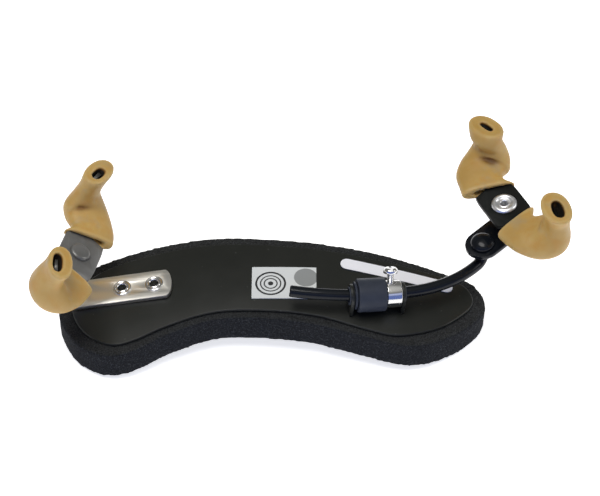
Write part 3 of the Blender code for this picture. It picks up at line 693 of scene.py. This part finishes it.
def foam_paint():
    """Open-cell foam, with painted light: lighter on its upward faces and darker and bluish on its
    sides.
    """
    made = new_material("black_foam", (0.02, 0.02, 0.02), 0.95, Specular_IOR_Level=0.2)
    cells = grain(made, 2000, 3, 0.7)
    blotches = grain(made, 220, 3)
    # Painted light: the sides darker and bluish and the upward faces lighter, as if lit from above and
    # from a cool front
    side = mixed(made, blotches, (0.005, 0.0061, 0.0082), (0.0085, 0.0101, 0.0134))
    top = mixed(made, blotches, (0.018, 0.019, 0.0185), (0.028, 0.029, 0.028))
    facing = add(made, "SeparateXYZ", None, Vector=add(made, "NewGeometry").outputs["Normal"])
    colour = tinted(made, side, facing.outputs["Z"], 0.35, 0.85, 1.0, top)
    colour = tinted(made, colour, cells, 0.48, 0.36, 0.85, (0.003, 0.003, 0.004))
    colour = tinted(made, colour, cells, 0.53, 0.70, 0.7, (0.062, 0.066, 0.072))
    feed(made, "Base Color", colour)
    coarse = bumped(made, grain(made, 900, 4, 0.7), 0.6, 0.5)
    feed(made, "Normal", bumped(made, cells, 0.6, 0.4, coarse))
    return made


def rubber_paint():
    """Gum rubber: clouded, with painted shade in hollows, along the fold and inside the hole, nearly
    black deep in it, and a painted highlight on ridges.
    """
    made = new_material(
        "tan_gum_rubber", (0.40, 0.26, 0.10), 0.48, Specular_IOR_Level=0.35,
        Subsurface_Weight=0.20, Subsurface_Scale=0.0015, Subsurface_Radius=(1.0, 0.5, 0.2),
    )
    hollow_shading, fold, inside = (
        add(made, "Attribute", {"attribute_name": name}).outputs["Fac"]
        for name in ("hollow_shading", "fold", "inside")
    )
    colour = (0.42, 0.256, 0.066)
    for value, low, high, most, tint in (
        (grain(made, 70, 3), 0.32, 0.68, 1.0, (0.51, 0.334, 0.108)),
        (grain(made, 180, 5, 0.65), 0.46, 0.68, 0.55, (0.47, 0.240, 0.045)),
        # Painted shade in hollows, then a painted highlight on ridges
        (hollow_shading, 0.004, 0.03, 0.7, (0.26, 0.115, 0.022)),
        (hollow_shading, -0.006, -0.02, 0.3, (0.58, 0.44, 0.19)),
        (grain(made, 130, 5, 0.6), 0.54, 0.70, 0.42, (0.33, 0.28, 0.18)),
        # Painted shade along the fold
        (fold, 0.1, 1.0, 0.7, (0.16, 0.068, 0.010)),
        # Painted shade inside the hole, amber near its mouth and nearly black deeper in
        (inside, 0.0, 0.35, 0.8, (0.22, 0.09, 0.012)),
        (inside, 0.3, 0.9, 1.0, (0.018, 0.014, 0.010)),
    ):
        colour = tinted(made, colour, value, low, high, most, tint)
    feed(made, "Base Color", colour)
    feed(made, "Roughness", spread(made, grain(made, 300, 4), 0.3, 0.7, 0.42, 0.58))
    soft = bumped(made, grain(made, 170, 3), 0.25, 0.6)
    feed(made, "Normal", bumped(made, grain(made, 1800, 3), 0.10, 0.12, soft))
    return made


def steel_paint(name, dark, light, roughness, metallic, level):
    """Satin coated sheet steel with fine scratches and a slightly uneven sheen."""
    made = new_material(name, dark, roughness, Metallic=metallic, Specular_IOR_Level=level)
    clouds = spread(made, grain(made, 120, 4), 0.3, 0.7)
    colour = mixed(made, clouds, dark, light)
    scratches = grain(made, 900, 3, 0.5, stretch=(1.0, 0.05, 1.0))
    bright = tuple(1.8 * c for c in light)
    feed(made, "Base Color", tinted(made, colour, scratches, 0.62, 0.72, 0.25, bright))
    feed(made, "Roughness", spread(made, clouds, 0, 1, roughness - 0.05, roughness + 0.06))
    feed(made, "Normal", bumped(made, grain(made, 2200, 2), 0.08, 0.06))
    return made


def label_paint(name, colour):
    """Printed paper or film with a faint tooth."""
    darker = tuple(c * 0.93 for c in colour)
    return textured(
        name, colour, 0.42,
        tone=((250, 5), darker, colour),
        sheen=((500, 3), 0.7, 0.36, 0.50),
        tooth=((1500, 3), 0.08, 0.05),
    )


def distance_from(material, x, y):
    """The distance in millimetres, seen from above, to a point of the plate."""
    level = place_of(material, (1.0, 1.0, 0.0))
    distance = add(material, "VectorMath", {"operation": "DISTANCE"}, Vector=level)
    centre = (Vector((x, y)) + ASSEMBLY_PLACE.xy) * MM
    distance.inputs[1].default_value = (centre.x, centre.y, 0.0)
    return times(material, distance.outputs["Value"], 1 / MM)


def emblem_paint():
    """A silver-grey label with a plain motif: printed rings, and a grey disc beside them."""
    made = label_paint("silver_grey_label", (0.68, 0.70, 0.69))
    from_disc = distance_from(made, *EMBLEM_DISC)
    grey = (0.26, 0.27, 0.265)
    paper = tinted(made, colour_of(made), from_disc, DISC_RADIUS + 0.1, DISC_RADIUS, 1.0, grey)
    radius = spread(made, distance_from(made, *EMBLEM_RINGS), 0, RINGS_RADIUS)
    ramp = add(made, "ValToRGB", None, Fac=radius)
    ramp.color_ramp.interpolation = "CONSTANT"
    stops = ramp.color_ramp.elements
    stops[0].color = (1, 1, 1, 1)
    stops[1].position = RINGS_DOT
    stops[1].color = (0, 0, 0, 1)
    for start, end in RINGS:
        for place, value in ((start, 1), (end, 0)):
            stops.new(place).color = (value, value, value, 1)
    feed(made, "Base Color", mixed(made, ramp.outputs["Color"], paper, (0.020, 0.021, 0.021)))
    return made


# Grains of the two bright metals: features to the metre, detail, roughness and stretch
BRUSHED = (1200, 4, 0.6, (0.06, 1.0, 0.06))
MARKED = (700, 5, 0.6)
PAINTS = (
    plate_paint(),
    foam_paint(),
    textured(
        "satin_nickel", (0.75, 0.73, 0.68), 0.34, Metallic=1.0,
        tone=((60, 3), (0.80, 0.77, 0.70), (0.93, 0.91, 0.87)),
        sheen=(BRUSHED, 0.7, 0.30, 0.44),
        tooth=(BRUSHED, 0.10, 0.05),
    ),
    textured(
        "chrome", (0.72, 0.72, 0.71), 0.10, Metallic=1.0,
        tone=((250, 3), (0.62, 0.61, 0.59), (0.78, 0.78, 0.78)),
        sheen=(MARKED, 0.75, 0.07, 0.20),
        tooth=(MARKED, 0.05, 0.05),
    ),
    steel_paint("dark_grey_metal", (0.135, 0.134, 0.127), (0.185, 0.183, 0.174), 0.34, 0.35, 0.5),
    steel_paint("near_black_metal", (0.006, 0.007, 0.006), (0.010, 0.011, 0.010), 0.46, 0.0, 0.12),
    rubber_paint(),
    textured(
        "satin_black_plastic", (0.034, 0.039, 0.052), 0.42, Specular_IOR_Level=0.12,
        tone=((300, 3), (0.029, 0.034, 0.046), (0.041, 0.047, 0.062)),
        sheen=((500, 4), 0.7, 0.37, 0.48),
        tooth=((2500, 2), 0.08, 0.06),
    ),
    textured(
        "gloss_black_metal", (0.006, 0.0075, 0.010), 0.14, Specular_IOR_Level=0.20,
        tone=((200, 3), (0.004, 0.005, 0.007), (0.009, 0.011, 0.014)),
        sheen=((350, 4), 0.75, 0.12, 0.24),
        tooth=((700, 2), 0.04, 0.08),
    ),
    emblem_paint(),
    label_paint("white_label", (0.88, 0.88, 0.92)),
    # The eyelet's softer, paler metal
    textured(
        "satin_aluminium", (0.86, 0.87, 0.88), 0.36, Metallic=1.0,
        tone=((250, 3), (0.80, 0.81, 0.82), (0.93, 0.93, 0.94)),
        sheen=((600, 4), 0.7, 0.30, 0.42),
        tooth=((900, 3), 0.08, 0.06),
    ),
)
# The CAD's materials have the slots' names, so Blender numbers these ones
PAINT = {paint.name.split(".")[0]: paint for paint in PAINTS}


# -------- pieces


def widened(outline, overhang, end_overhang):
    """The outline moved outwards, further where it faces along the rest."""
    made = []
    for index, (x, y) in enumerate(outline):
        before = outline[index - 1]
        after = outline[(index + 1) % len(outline)]
        along = Vector((after[0] - before[0], after[1] - before[1])).normalized()
        out = Vector((-along.y, along.x))
        shift = overhang + end_overhang * out.x ** 2
        made.append((x + out.x * shift + (FOAM_SHIFT if overhang > 0 else 0.0), y + out.y * shift))
    return made


def arched_sheet(name, outline, top, thickness, pitch=1.5, corner=0.0):
    """A flat sheet of this outline, with its edges rounded when a corner is given, bent smoothly to the
    plate's arch.
    """
    layers = [(0.0, 0.0), (0.0, -thickness)]
    if corner:
        turns = [(corner * (1 - cos(a)), corner * (1 - sin(a))) for a in (0, pi / 6, pi / 3, pi / 2)]
        upper = [(inset, -drop) for inset, drop in reversed(turns)]
        lower = [(inset, drop - thickness) for inset, drop in turns]
        layers = upper + lower
    bm = bmesh.new()
    loops = []
    for inset, height in layers:
        ring = widened(outline, -inset, 0.0) if inset else outline
        loops.append([bm.verts.new((x, y, top + height)) for x, y in ring])
    bridge(bm, loops)
    bm.faces.new(loops[0])
    bm.faces.new(loops[-1])
    x = min(x for x, _ in outline) + pitch
    last = max(x for x, _ in outline) - 0.5
    while x < last:
        everything = [*bm.verts, *bm.edges, *bm.faces]
        bmesh.ops.bisect_plane(bm, geom=everything, plane_co=(x, 0, 0), plane_no=(1, 0, 0))
        x += pitch
    for vert in bm.verts:
        vert.co.z += arch(vert.co.x)
    return finish_mesh(name, bm, Matrix.Translation(ASSEMBLY_PLACE), sharp=28)


def stadium(length, width, steps=16):
    """The outline of a strip with round ends."""
    reach = (length - width) / 2
    points = []
    for middle, start in ((reach, -pi / 2), (-reach, pi / 2)):
        for step in range(steps + 1):
            angle = start + pi * step / steps
            points.append((middle + width / 2 * cos(angle), width / 2 * sin(angle)))
    return points


def place_outline(outline, middle, yaw):
    return [
        (middle[0] + x * cos(yaw) - y * sin(yaw), middle[1] + x * sin(yaw) + y * cos(yaw))
        for x, y in outline
    ]


def make_plate():
    outline = spline(PLATE_OUTLINE, 8, closed=True)
    dress(arched_sheet("plate_look", outline, 0.0, PLATE_THICKNESS, corner=0.45), "base_plate")
    length, width = EMBLEM_SIZE
    corners = [(a * length, b * width) for a, b in ((-0.5, -0.5), (0.5, -0.5), (0.5, 0.5), (-0.5, 0.5))]
    emblem = place_outline(corners, EMBLEM_MIDDLE, 0.0)
    dress(arched_sheet("emblem_look", emblem, LABEL_TOP, LABEL_THICKNESS), "emblem_label")
    strip = place_outline(stadium(*SIZE_LABEL_SIZE), SIZE_LABEL_MIDDLE, SIZE_LABEL_YAW)
    dress(arched_sheet("size_label_look", strip, LABEL_TOP, LABEL_THICKNESS), "size_label")


def make_foam():
    """The pad: a sheet of cut foam with crisp edges and open cells all over."""
    outline = widened(
        spline(PLATE_OUTLINE, 4, closed=True), FOAM_OVERHANG + FOAM_GROWTH, FOAM_END_OVERHANG
    )
    middle = sum(y for _, y in outline) / len(outline)
    moved = []
    for x, y in outline:
        rear = smoothstep(y, middle, middle + FOAM_MIDDLE_STRIP)
        part_x = x + ASSEMBLY_PLACE.x
        front = np.interp(part_x, *zip(*FOAM_FRONT)) * (1 - rear)
        back = (FOAM_BACK_GROWTH + np.interp(part_x, *zip(*FOAM_BACK))) * rear
        moved.append((x, y + front + back))
    top = -PLATE_THICKNESS - FOAM_GAP
    pad = arched_sheet("foam_look", moved, top, FOAM_THICKNESS + FOAM_SPARE, pitch=4.0)
    move_above_floor(pad.data, vertex_vectors(pad.data, "co"))
    remeshed(pad, FOAM_VOXEL, 2)
    places = vertex_vectors(pad.data, "co")
    lumps = np.array([
        sum(noise.noise(Vector(place) / MM * scale) * height for scale, height in FOAM_LUMPS)
        for place in places
    ])
    places += vertex_vectors(pad.data, "normal") * lumps[:, None] * MM
    move_above_floor(pad.data, places)
    pad.data.shade_smooth()
    dress(pad, "foam_pad")


def station_frame(station, end):
    """A station's place, across, up and ahead, in a fork's frame with X outwards."""
    u, v, h = station[:3]
    heading, pitch = map(radians, station[3:5])
    across = Vector((cos(heading), -end * sin(heading), 0.0))
    level = Vector((sin(heading), end * cos(heading), 0.0))
    up = Vector((0, 0, cos(pitch))) - level * sin(pitch)
    ahead = level * cos(pitch) + Vector((0, 0, sin(pitch)))
    return Vector((u, end * v, h)), across, up, ahead


def arm_rings(side, end, stations, shape):
    """Rings square to a fork arm. shape(index, station) gives the ring's (across, up) points."""
    rings = []
    for index, station in enumerate(stations):
        middle, across, up, _ = station_frame(station, end)
        ring = [middle + across * a + up * b for a, b in shape(index, station)]
        rings.append([Vector((side * point.x, point.y, point.z)) for point in ring])
    return rings


def oval(half_width, half_thickness, square):
    """A ring from an ellipse, where square is 1, towards a box."""
    points = []
    for index in range(SLEEVE_POINTS):
        angle = 2 * pi * (index + 0.5) / SLEEVE_POINTS
        a = half_width * abs(cos(angle)) ** square * (1 if cos(angle) > 0 else -1)
        b = half_thickness * abs(sin(angle)) ** square * (1 if sin(angle) > 0 else -1)
        points.append((a, b))
    return points


def smoothstep(value, low, high):
    """0 up to low, and 1 from high on."""
    t = np.clip((value - low) / (high - low), 0.0, 1.0)
    return t * t * (3 - 2 * t)


def falling(value, low, high):
    """1 up to low, and 0 from high on."""
    return smoothstep(-value, -high, -low)


def in_fork(mesh, matrix, side):
    """The mesh's vertices in a fork's frame with X outwards, in millimetres."""
    back = matrix.inverted()
    local = (vertex_vectors(mesh, "co") / MM) @ np.array(back.to_3x3()).T
    return (local + np.array(back.translation)) * (side, 1, 1)


def fold_and_mark(mesh, node, matrix, side, end, tip, hole):
    """Presses the fold in at the foot of the prong, and marks painted shade along it and over the
    inside of the hole.
    """
    middle, across, up, ahead = map(np.array, station_frame(tip, end))
    local = in_fork(mesh, matrix, side)
    normals = vertex_vectors(mesh, "normal")
    facing = (normals @ np.array(matrix.to_3x3())) * (side, 1, 1)

    start = np.array(FOLD_START + Vector((FOLD_SHIFT.get(node, 0.0), 0.0, 0.0)))
    line = FOLD_END - FOLD_START
    beside = local * (1, end, 1) - start
    share = (beside @ np.array(line) / line.length_squared).clip(0, 1)
    away = np.linalg.norm(beside - share[:, None] * np.array(line), axis=1)
    on_side = smoothstep((facing * (1, end, 1)) @ np.array(FOLD_SIDE), -0.35, 0.25)
    fade = (0.35 + 0.65 * np.sin(pi * share)) * on_side * (node in FOLD_SHIFT)
    fold = np.exp(-((away / FOLD_WIDTH) ** 2)) * fade
    # Painted shade along the fold, twice as wide as the pressed fold
    shade = np.exp(-((away / (2.0 * FOLD_WIDTH)) ** 2)) * fade

    # Painted shade over the inner wall of the hole, darker deeper in
    from_tip = local - middle
    out = np.maximum(
        abs(from_tip @ across) / (hole[0] + HOLE_MARGIN), abs(from_tip @ up) / (hole[1] + HOLE_MARGIN)
    )
    depth = -(from_tip @ ahead)
    radial = from_tip + depth[:, None] * ahead
    inward = -(facing * radial).sum(axis=1) / np.linalg.norm(radial, axis=1)
    inside = smoothstep(depth, -0.1, 1.6) * falling(out, 0.8, 1.0) * smoothstep(inward, -0.3, 0.1)

    places = vertex_vectors(mesh, "co")
    move_vertices(mesh, places - normals * FOLD_DEPTH * fold[:, None] * MM)
    mark(mesh, "fold", shade)
    mark(mesh, "inside", inside)


def make_sleeve(node, matrix, side, end):
    """A moulded rubber sleeve, open round the fork's steel and with an oval hole at the tip."""
    fit, hole = SLEEVE_FIT[node]
    joined = []
    for index, (arm, sleeve) in enumerate(zip(ARM, SLEEVE)):
        change = (fit.get(index, ()) + (0,) * 7)[:7]
        place = tuple(value + more for value, more in zip(arm[:3], change[:3]))
        ring = tuple(value + more for value, more in zip(sleeve[:4], change[3:]))
        joined.append(place + arm[3:] + ring + sleeve[4:])
    stations = spline(joined, SLEEVE_STEPS)
    last = len(stations) - 1

    def outside(index, station):
        half_width, half_thickness, shift, lift, square = station[6:]
        from_end = min(index, last - index)
        round_off = LIP_ROUNDING[from_end] if from_end < len(LIP_ROUNDING) else 0.0
        ring = oval(half_width - round_off, half_thickness - round_off, square)
        return [(a + shift, b + lift) for a, b in ring]

    def inside(index, station):
        along = index / last
        narrow = 1 - ARM_SLIMMING * smoothstep(along, *CHANNEL_START) * falling(along, *CHANNEL_END)
        wide = station[5] * narrow + SLEEVE_GAP
        thick = FORK_HALF_THICKNESS * narrow + SLEEVE_GAP
        share = max(0.0, 1 - (last - index) / TIP_HOLE_STEPS) ** 0.7
        wide += (hole[0] - wide) * share
        thick += (hole[1] - thick) * share
        return oval(wide, thick, 0.55 + 0.30 * share)

    outer = arm_rings(side, end, stations, outside)
    inner = arm_rings(side, end, stations, inside)
    sleeve = skinned(node + "_look", outer + inner[::-1], matrix, join_ends=True, sharp=180)
    remeshed(sleeve, SLEEVE_VOXEL, 5)
    fold_and_mark(sleeve.data, node, matrix, side, end, joined[-1], hole)
    sleeve.data.shade_smooth()
    mark_hollow_shading(sleeve.data)
    dress(sleeve, node)


def slim_arms(mesh, fork):
    """Draws the fork's steel in where the sleeves hide it, so that their walls clear it."""
    matrix, side = FORKS[fork]
    folded = in_fork(mesh, matrix, side)
    ends = np.where(folded[:, 1] < 0, -1.0, 1.0)
    folded[:, 1] *= ends
    line = np.array([station[:3] for station in spline(ARM, SLEEVE_STEPS)])
    nearest = np.linalg.norm(folded[:, None] - line, axis=2).argmin(axis=1)
    along = nearest / (len(line) - 1)
    # How far along the arm each sleeve's mouth has crept
    front, back = (SLEEVE_FIT[f"{fork}_sleeve_{where}"][0][0][1] for where in ("front", "back"))
    from_mouth = folded[:, 1] - np.where(ends < 0, front, back)
    share = smoothstep(from_mouth, *STEEL_START) * falling(along, *STEEL_END)
    folded += (line[nearest] - folded) * ARM_SLIMMING * share[:, None]
    folded[:, 1] *= ends
    local = folded * (side, 1, 1)
    turned_back = local @ np.array(matrix.to_3x3()).T
    move_vertices(mesh, (turned_back + np.array(matrix.translation)) * MM)


def make_rivets():
    """The strap's two hollow rivets, the left fork's rivet and the right fork's eyelet."""
    top = TOUCH_GAP + STRAP_THICKNESS
    bottom = -PLATE_THICKNESS - 0.35
    profile = [
        (1.5, bottom - 0.7), (3.0, bottom - 0.7), (3.0, bottom - 0.1), (2.0, bottom - 0.1),
        (2.0, top + 0.02), (3.35, top + 0.02), (3.3, top + 0.42), (2.95, top + 0.52),
        (2.45, top + 0.36), (2.15, top + 0.66), (1.8, top + 0.76), (1.5, top + 0.45),
    ]
    for node, x in STRAP_RIVETS.items():
        matrix = STRAP @ Matrix.Translation((x, 0, 0))
        dress(turned(node + "_look", profile, matrix, 0.12, closed=True), node)
    base = FORK_HALF_THICKNESS + 0.02
    head, eyelet = (
        [(radius, base + height) for radius, height in section]
        for section in (LEFT_RIVET, RIGHT_EYELET)
    )
    dress(turned("left_rivet_look", head, LEFT_FORK, 0.4), "left_fork_rivet")
    ring = turned("right_eyelet_look", eyelet, RIGHT_FORK, 0.22, closed=True)
    dress(ring, "right_fork_eyelet", "satin_aluminium")


def make_ring(node, outer, inner, left, right, corner):
    """A ring about the bush. Returns where the next one starts."""
    profile = [(inner, left), (outer, left), (outer, right), (inner, right)]
    dress(turned(node + "_look", profile, BUSH, corner, 96, closed=True), node)
    return right + TOUCH_GAP


def make_clamp():
    """The bush with its washer, roller and collar, and the collar's slotted screw."""
    reach = EAR_SPAN / 2 + EAR_THICKNESS / 2 + BUSH_END
    make_ring("clamp_bush", BUSH_RADIUS, BUSH_BORE, -reach, reach, 0.2)
    bore = BUSH_RADIUS + 0.1
    left = -EAR_SPAN / 2 + EAR_THICKNESS / 2 + TOUCH_GAP
    left = make_ring("thrust_washer", THRUST_RADIUS, bore, left, left + THRUST_WIDTH, 0.25)
    left = make_ring("friction_roller", ROLLER_RADIUS, bore, left, left + ROLLER_LENGTH, 0.45)
    right = EAR_SPAN / 2 - EAR_THICKNESS / 2 - TOUCH_GAP
    make_ring("clamp_collar", COLLAR_RADIUS, bore, left, right, 0.3)
    place = Matrix.Translation((left + SCREW_FROM_ROLLER, 0, 0))
    place = CLAMP @ (place @ Matrix.Rotation(-SCREW_LEAN, 4, "X"))
    top = SCREW_HEAD_BASE + SCREW_HEAD_HEIGHT
    profile = [(0.0, BUSH_RADIUS + 0.3), (SCREW_RADIUS, BUSH_RADIUS + 0.3)]
    height = BUSH_RADIUS + 0.5
    while height < SCREW_HEAD_BASE - 0.5:
        profile += [(SCREW_RADIUS, height), (SCREW_RADIUS - THREAD_DEPTH, height + 0.22)]
        height += THREAD_PITCH
    profile += [
        (SCREW_RADIUS, SCREW_HEAD_BASE), (SCREW_HEAD_RADIUS - 0.1, SCREW_HEAD_BASE),
        (SCREW_HEAD_RADIUS, SCREW_HEAD_BASE + 0.5), (SCREW_HEAD_RADIUS, top - 0.9),
        (SCREW_HEAD_RADIUS - 0.7, top - 0.15), (0.0, top),
    ]
    screw = turned("clamp_screw_look", profile, place, 0.3)
    slot_box = bmesh.new()
    size = Matrix.Diagonal((SCREW_SLOT_WIDTH, 4 * SCREW_HEAD_RADIUS, 2 * SCREW_SLOT_DEPTH, 1.0))
    bmesh.ops.create_cube(slot_box, size=1.0, matrix=Matrix.Translation((0, 0, top)) @ size)
    cutter = finish_mesh("slot_cutter", slot_box, place)
    with_modifiers(screw, ("BOOLEAN", {"operation": "DIFFERENCE", "solver": "EXACT", "object": cutter}))
    bpy.data.objects.remove(cutter)
    screw.data.set_sharp_from_angle(angle=radians(35))
    dress(screw, "clamp_screw")


def make_rod():
    """The bent rod with its chamfered end, its neck in the link, and the domed head on top."""
    points = list(ROD_POINTS)
    radii = [ROD_RADIUS] * len(points)
    start = points[0] + (points[1] - points[0]).normalized() * ROD_CHAMFER
    points.insert(1, start)
    radii.insert(0, ROD_RADIUS - ROD_CHAMFER)
    neck = points[-1]
    neck_length = STRAP_THICKNESS + 2 * TOUCH_GAP
    points += [neck + ROD_UP * 0.01, neck + ROD_UP * neck_length]
    radii += [ROD_NECK, ROD_NECK]
    rings = []
    side = None
    for index, point in enumerate(points):
        ahead = (points[min(index + 1, len(points) - 1)] - points[max(index - 1, 0)]).normalized()
        side = ahead.orthogonal() if side is None else side
        side = (side - ahead * side.dot(ahead)).normalized()
        other = ahead.cross(side)
        turns = [2 * pi * step / ROD_SIDES for step in range(ROD_SIDES)]
        rings.append([point + (side * cos(a) + other * sin(a)) * radii[index] for a in turns])
    dress(skinned("bent_rod_look", rings, CLAMP), "bent_rod")
    bottom = neck_length - 0.25
    profile = [(0.0, bottom), (DOME_RADIUS - 0.05, bottom)]
    steps = 18
    for step in range(steps):
        angle = pi / 2 * step / steps
        profile.append((DOME_RADIUS * cos(angle), bottom + 0.5 + DOME_HEIGHT * sin(angle)))
    profile.append((0.0, bottom + 0.5 + DOME_HEIGHT))
    dress(turned("rod_dome_look", profile, LINK, 0.05), "rod_dome")


make_plate()
make_foam()
for _fork, (_matrix, _side) in FORKS.items():
    for _where, _end in (("back", 1), ("front", -1)):
        make_sleeve(f"{_fork}_sleeve_{_where}", _matrix, _side, _end)
make_rivets()
make_clamp()
make_rod()
_pieces = {node: refined(node, width) for node, width in EDGE_WIDTHS.items()}
for _fork in FORKS:
    slim_arms(_pieces[_fork + "_fork"].data, _fork)


# -------- stage, light and camera


def make_floor():
    """A white sheet lit from inside, so that the shadow on it stays faint."""
    bm = bmesh.new()
    bmesh.ops.create_grid(bm, x_segments=1, y_segments=1, size=FLOOR_HALF_SIZE)
    floor = finish_mesh("floor", bm, Matrix.Translation((0, 0, cad_box[0][2] / MM - FLOOR_DROP)))
    paint = new_material(
        "pale_floor", (0.9, 0.9, 0.9), 0.9, Specular_IOR_Level=0.1,
        Emission_Strength=FLOOR_GLOW, Emission_Color=(1, 1, 1, 1),
    )
    clouds = grain(paint, 3, 2)
    feed(paint, "Base Color", mixed(paint, clouds, (0.89, 0.89, 0.89), (0.91, 0.91, 0.91)))
    floor.data.materials.append(paint)


def area_light(name, place, size, watts, colour=(1.0, 1.0, 1.0)):
    """A soft light aimed at the part's origin, with its place and size in metres."""
    data = bpy.data.lights.new(name, "AREA")
    data.shape = "ELLIPSE"
    data.size, data.size_y = size
    data.energy = watts
    data.color = colour
    light = bpy.data.objects.new(name, data)
    bpy.context.scene.collection.objects.link(light)
    light.location = place
    light.rotation_euler = (-Vector(place)).to_track_quat("-Z", "Y").to_euler()


def make_world():
    """A pale room, cool towards the front at window height."""
    world = bpy.data.worlds.new("room")
    bpy.context.scene.world = world
    world.use_nodes = True
    direction = add(world, "TexCoord").outputs["Generated"]
    split = add(world, "SeparateXYZ", None, Vector=direction)

    def ramp(axis, low, high):
        settings = {"interpolation_type": "SMOOTHSTEP", "From Min": low, "From Max": high}
        return add(world, "MapRange", settings, Value=split.outputs[axis]).outputs["Result"]

    room = mixed(world, ramp("Z", 0.75, 0.98), (0.20, 0.20, 0.19), (0.60, 0.60, 0.58))
    ahead = ramp("Y", -0.15, -0.70)
    front = times(world, ahead, ramp("Z", 0.62, 0.45))
    room = mixed(world, front, room, (0.15, 0.22, 0.55))
    band = times(world, ramp("Z", 0.50, 0.60), ramp("Z", 0.78, 0.68))
    room = mixed(world, times(world, ahead, band), room, (0.55, 0.62, 0.95))
    world.node_tree.links.new(room, world.node_tree.nodes["Background"].inputs["Color"])


def make_camera():
    """The viewpoint: raised, straight from the front, through a long lens."""
    data = bpy.data.cameras.new("camera")
    data.sensor_width = 36.0
    data.lens = CAMERA_LENS
    data.clip_start = 0.01
    data.clip_end = 20.0
    camera = bpy.data.objects.new("camera", data)
    bpy.context.scene.collection.objects.link(camera)
    target = (ASSEMBLY_PLACE + Vector((CAMERA_AIM, 0, 0))) * MM
    away = Vector((0, -cos(CAMERA_ELEVATION), sin(CAMERA_ELEVATION)))
    camera.location = target + away * CAMERA_DISTANCE
    camera.rotation_euler = (radians(90) - CAMERA_ELEVATION, 0, 0)
    bpy.context.scene.camera = camera


make_floor()
make_world()
area_light("key", (-0.15, -0.09, 0.95), (0.75, 0.45), 5.3, (1.0, 0.985, 0.955))
area_light("side", (0.75, 0.10, 0.45), (0.4, 0.4), 1.2)
make_camera()
bpy.context.scene.view_settings.view_transform = "Standard"
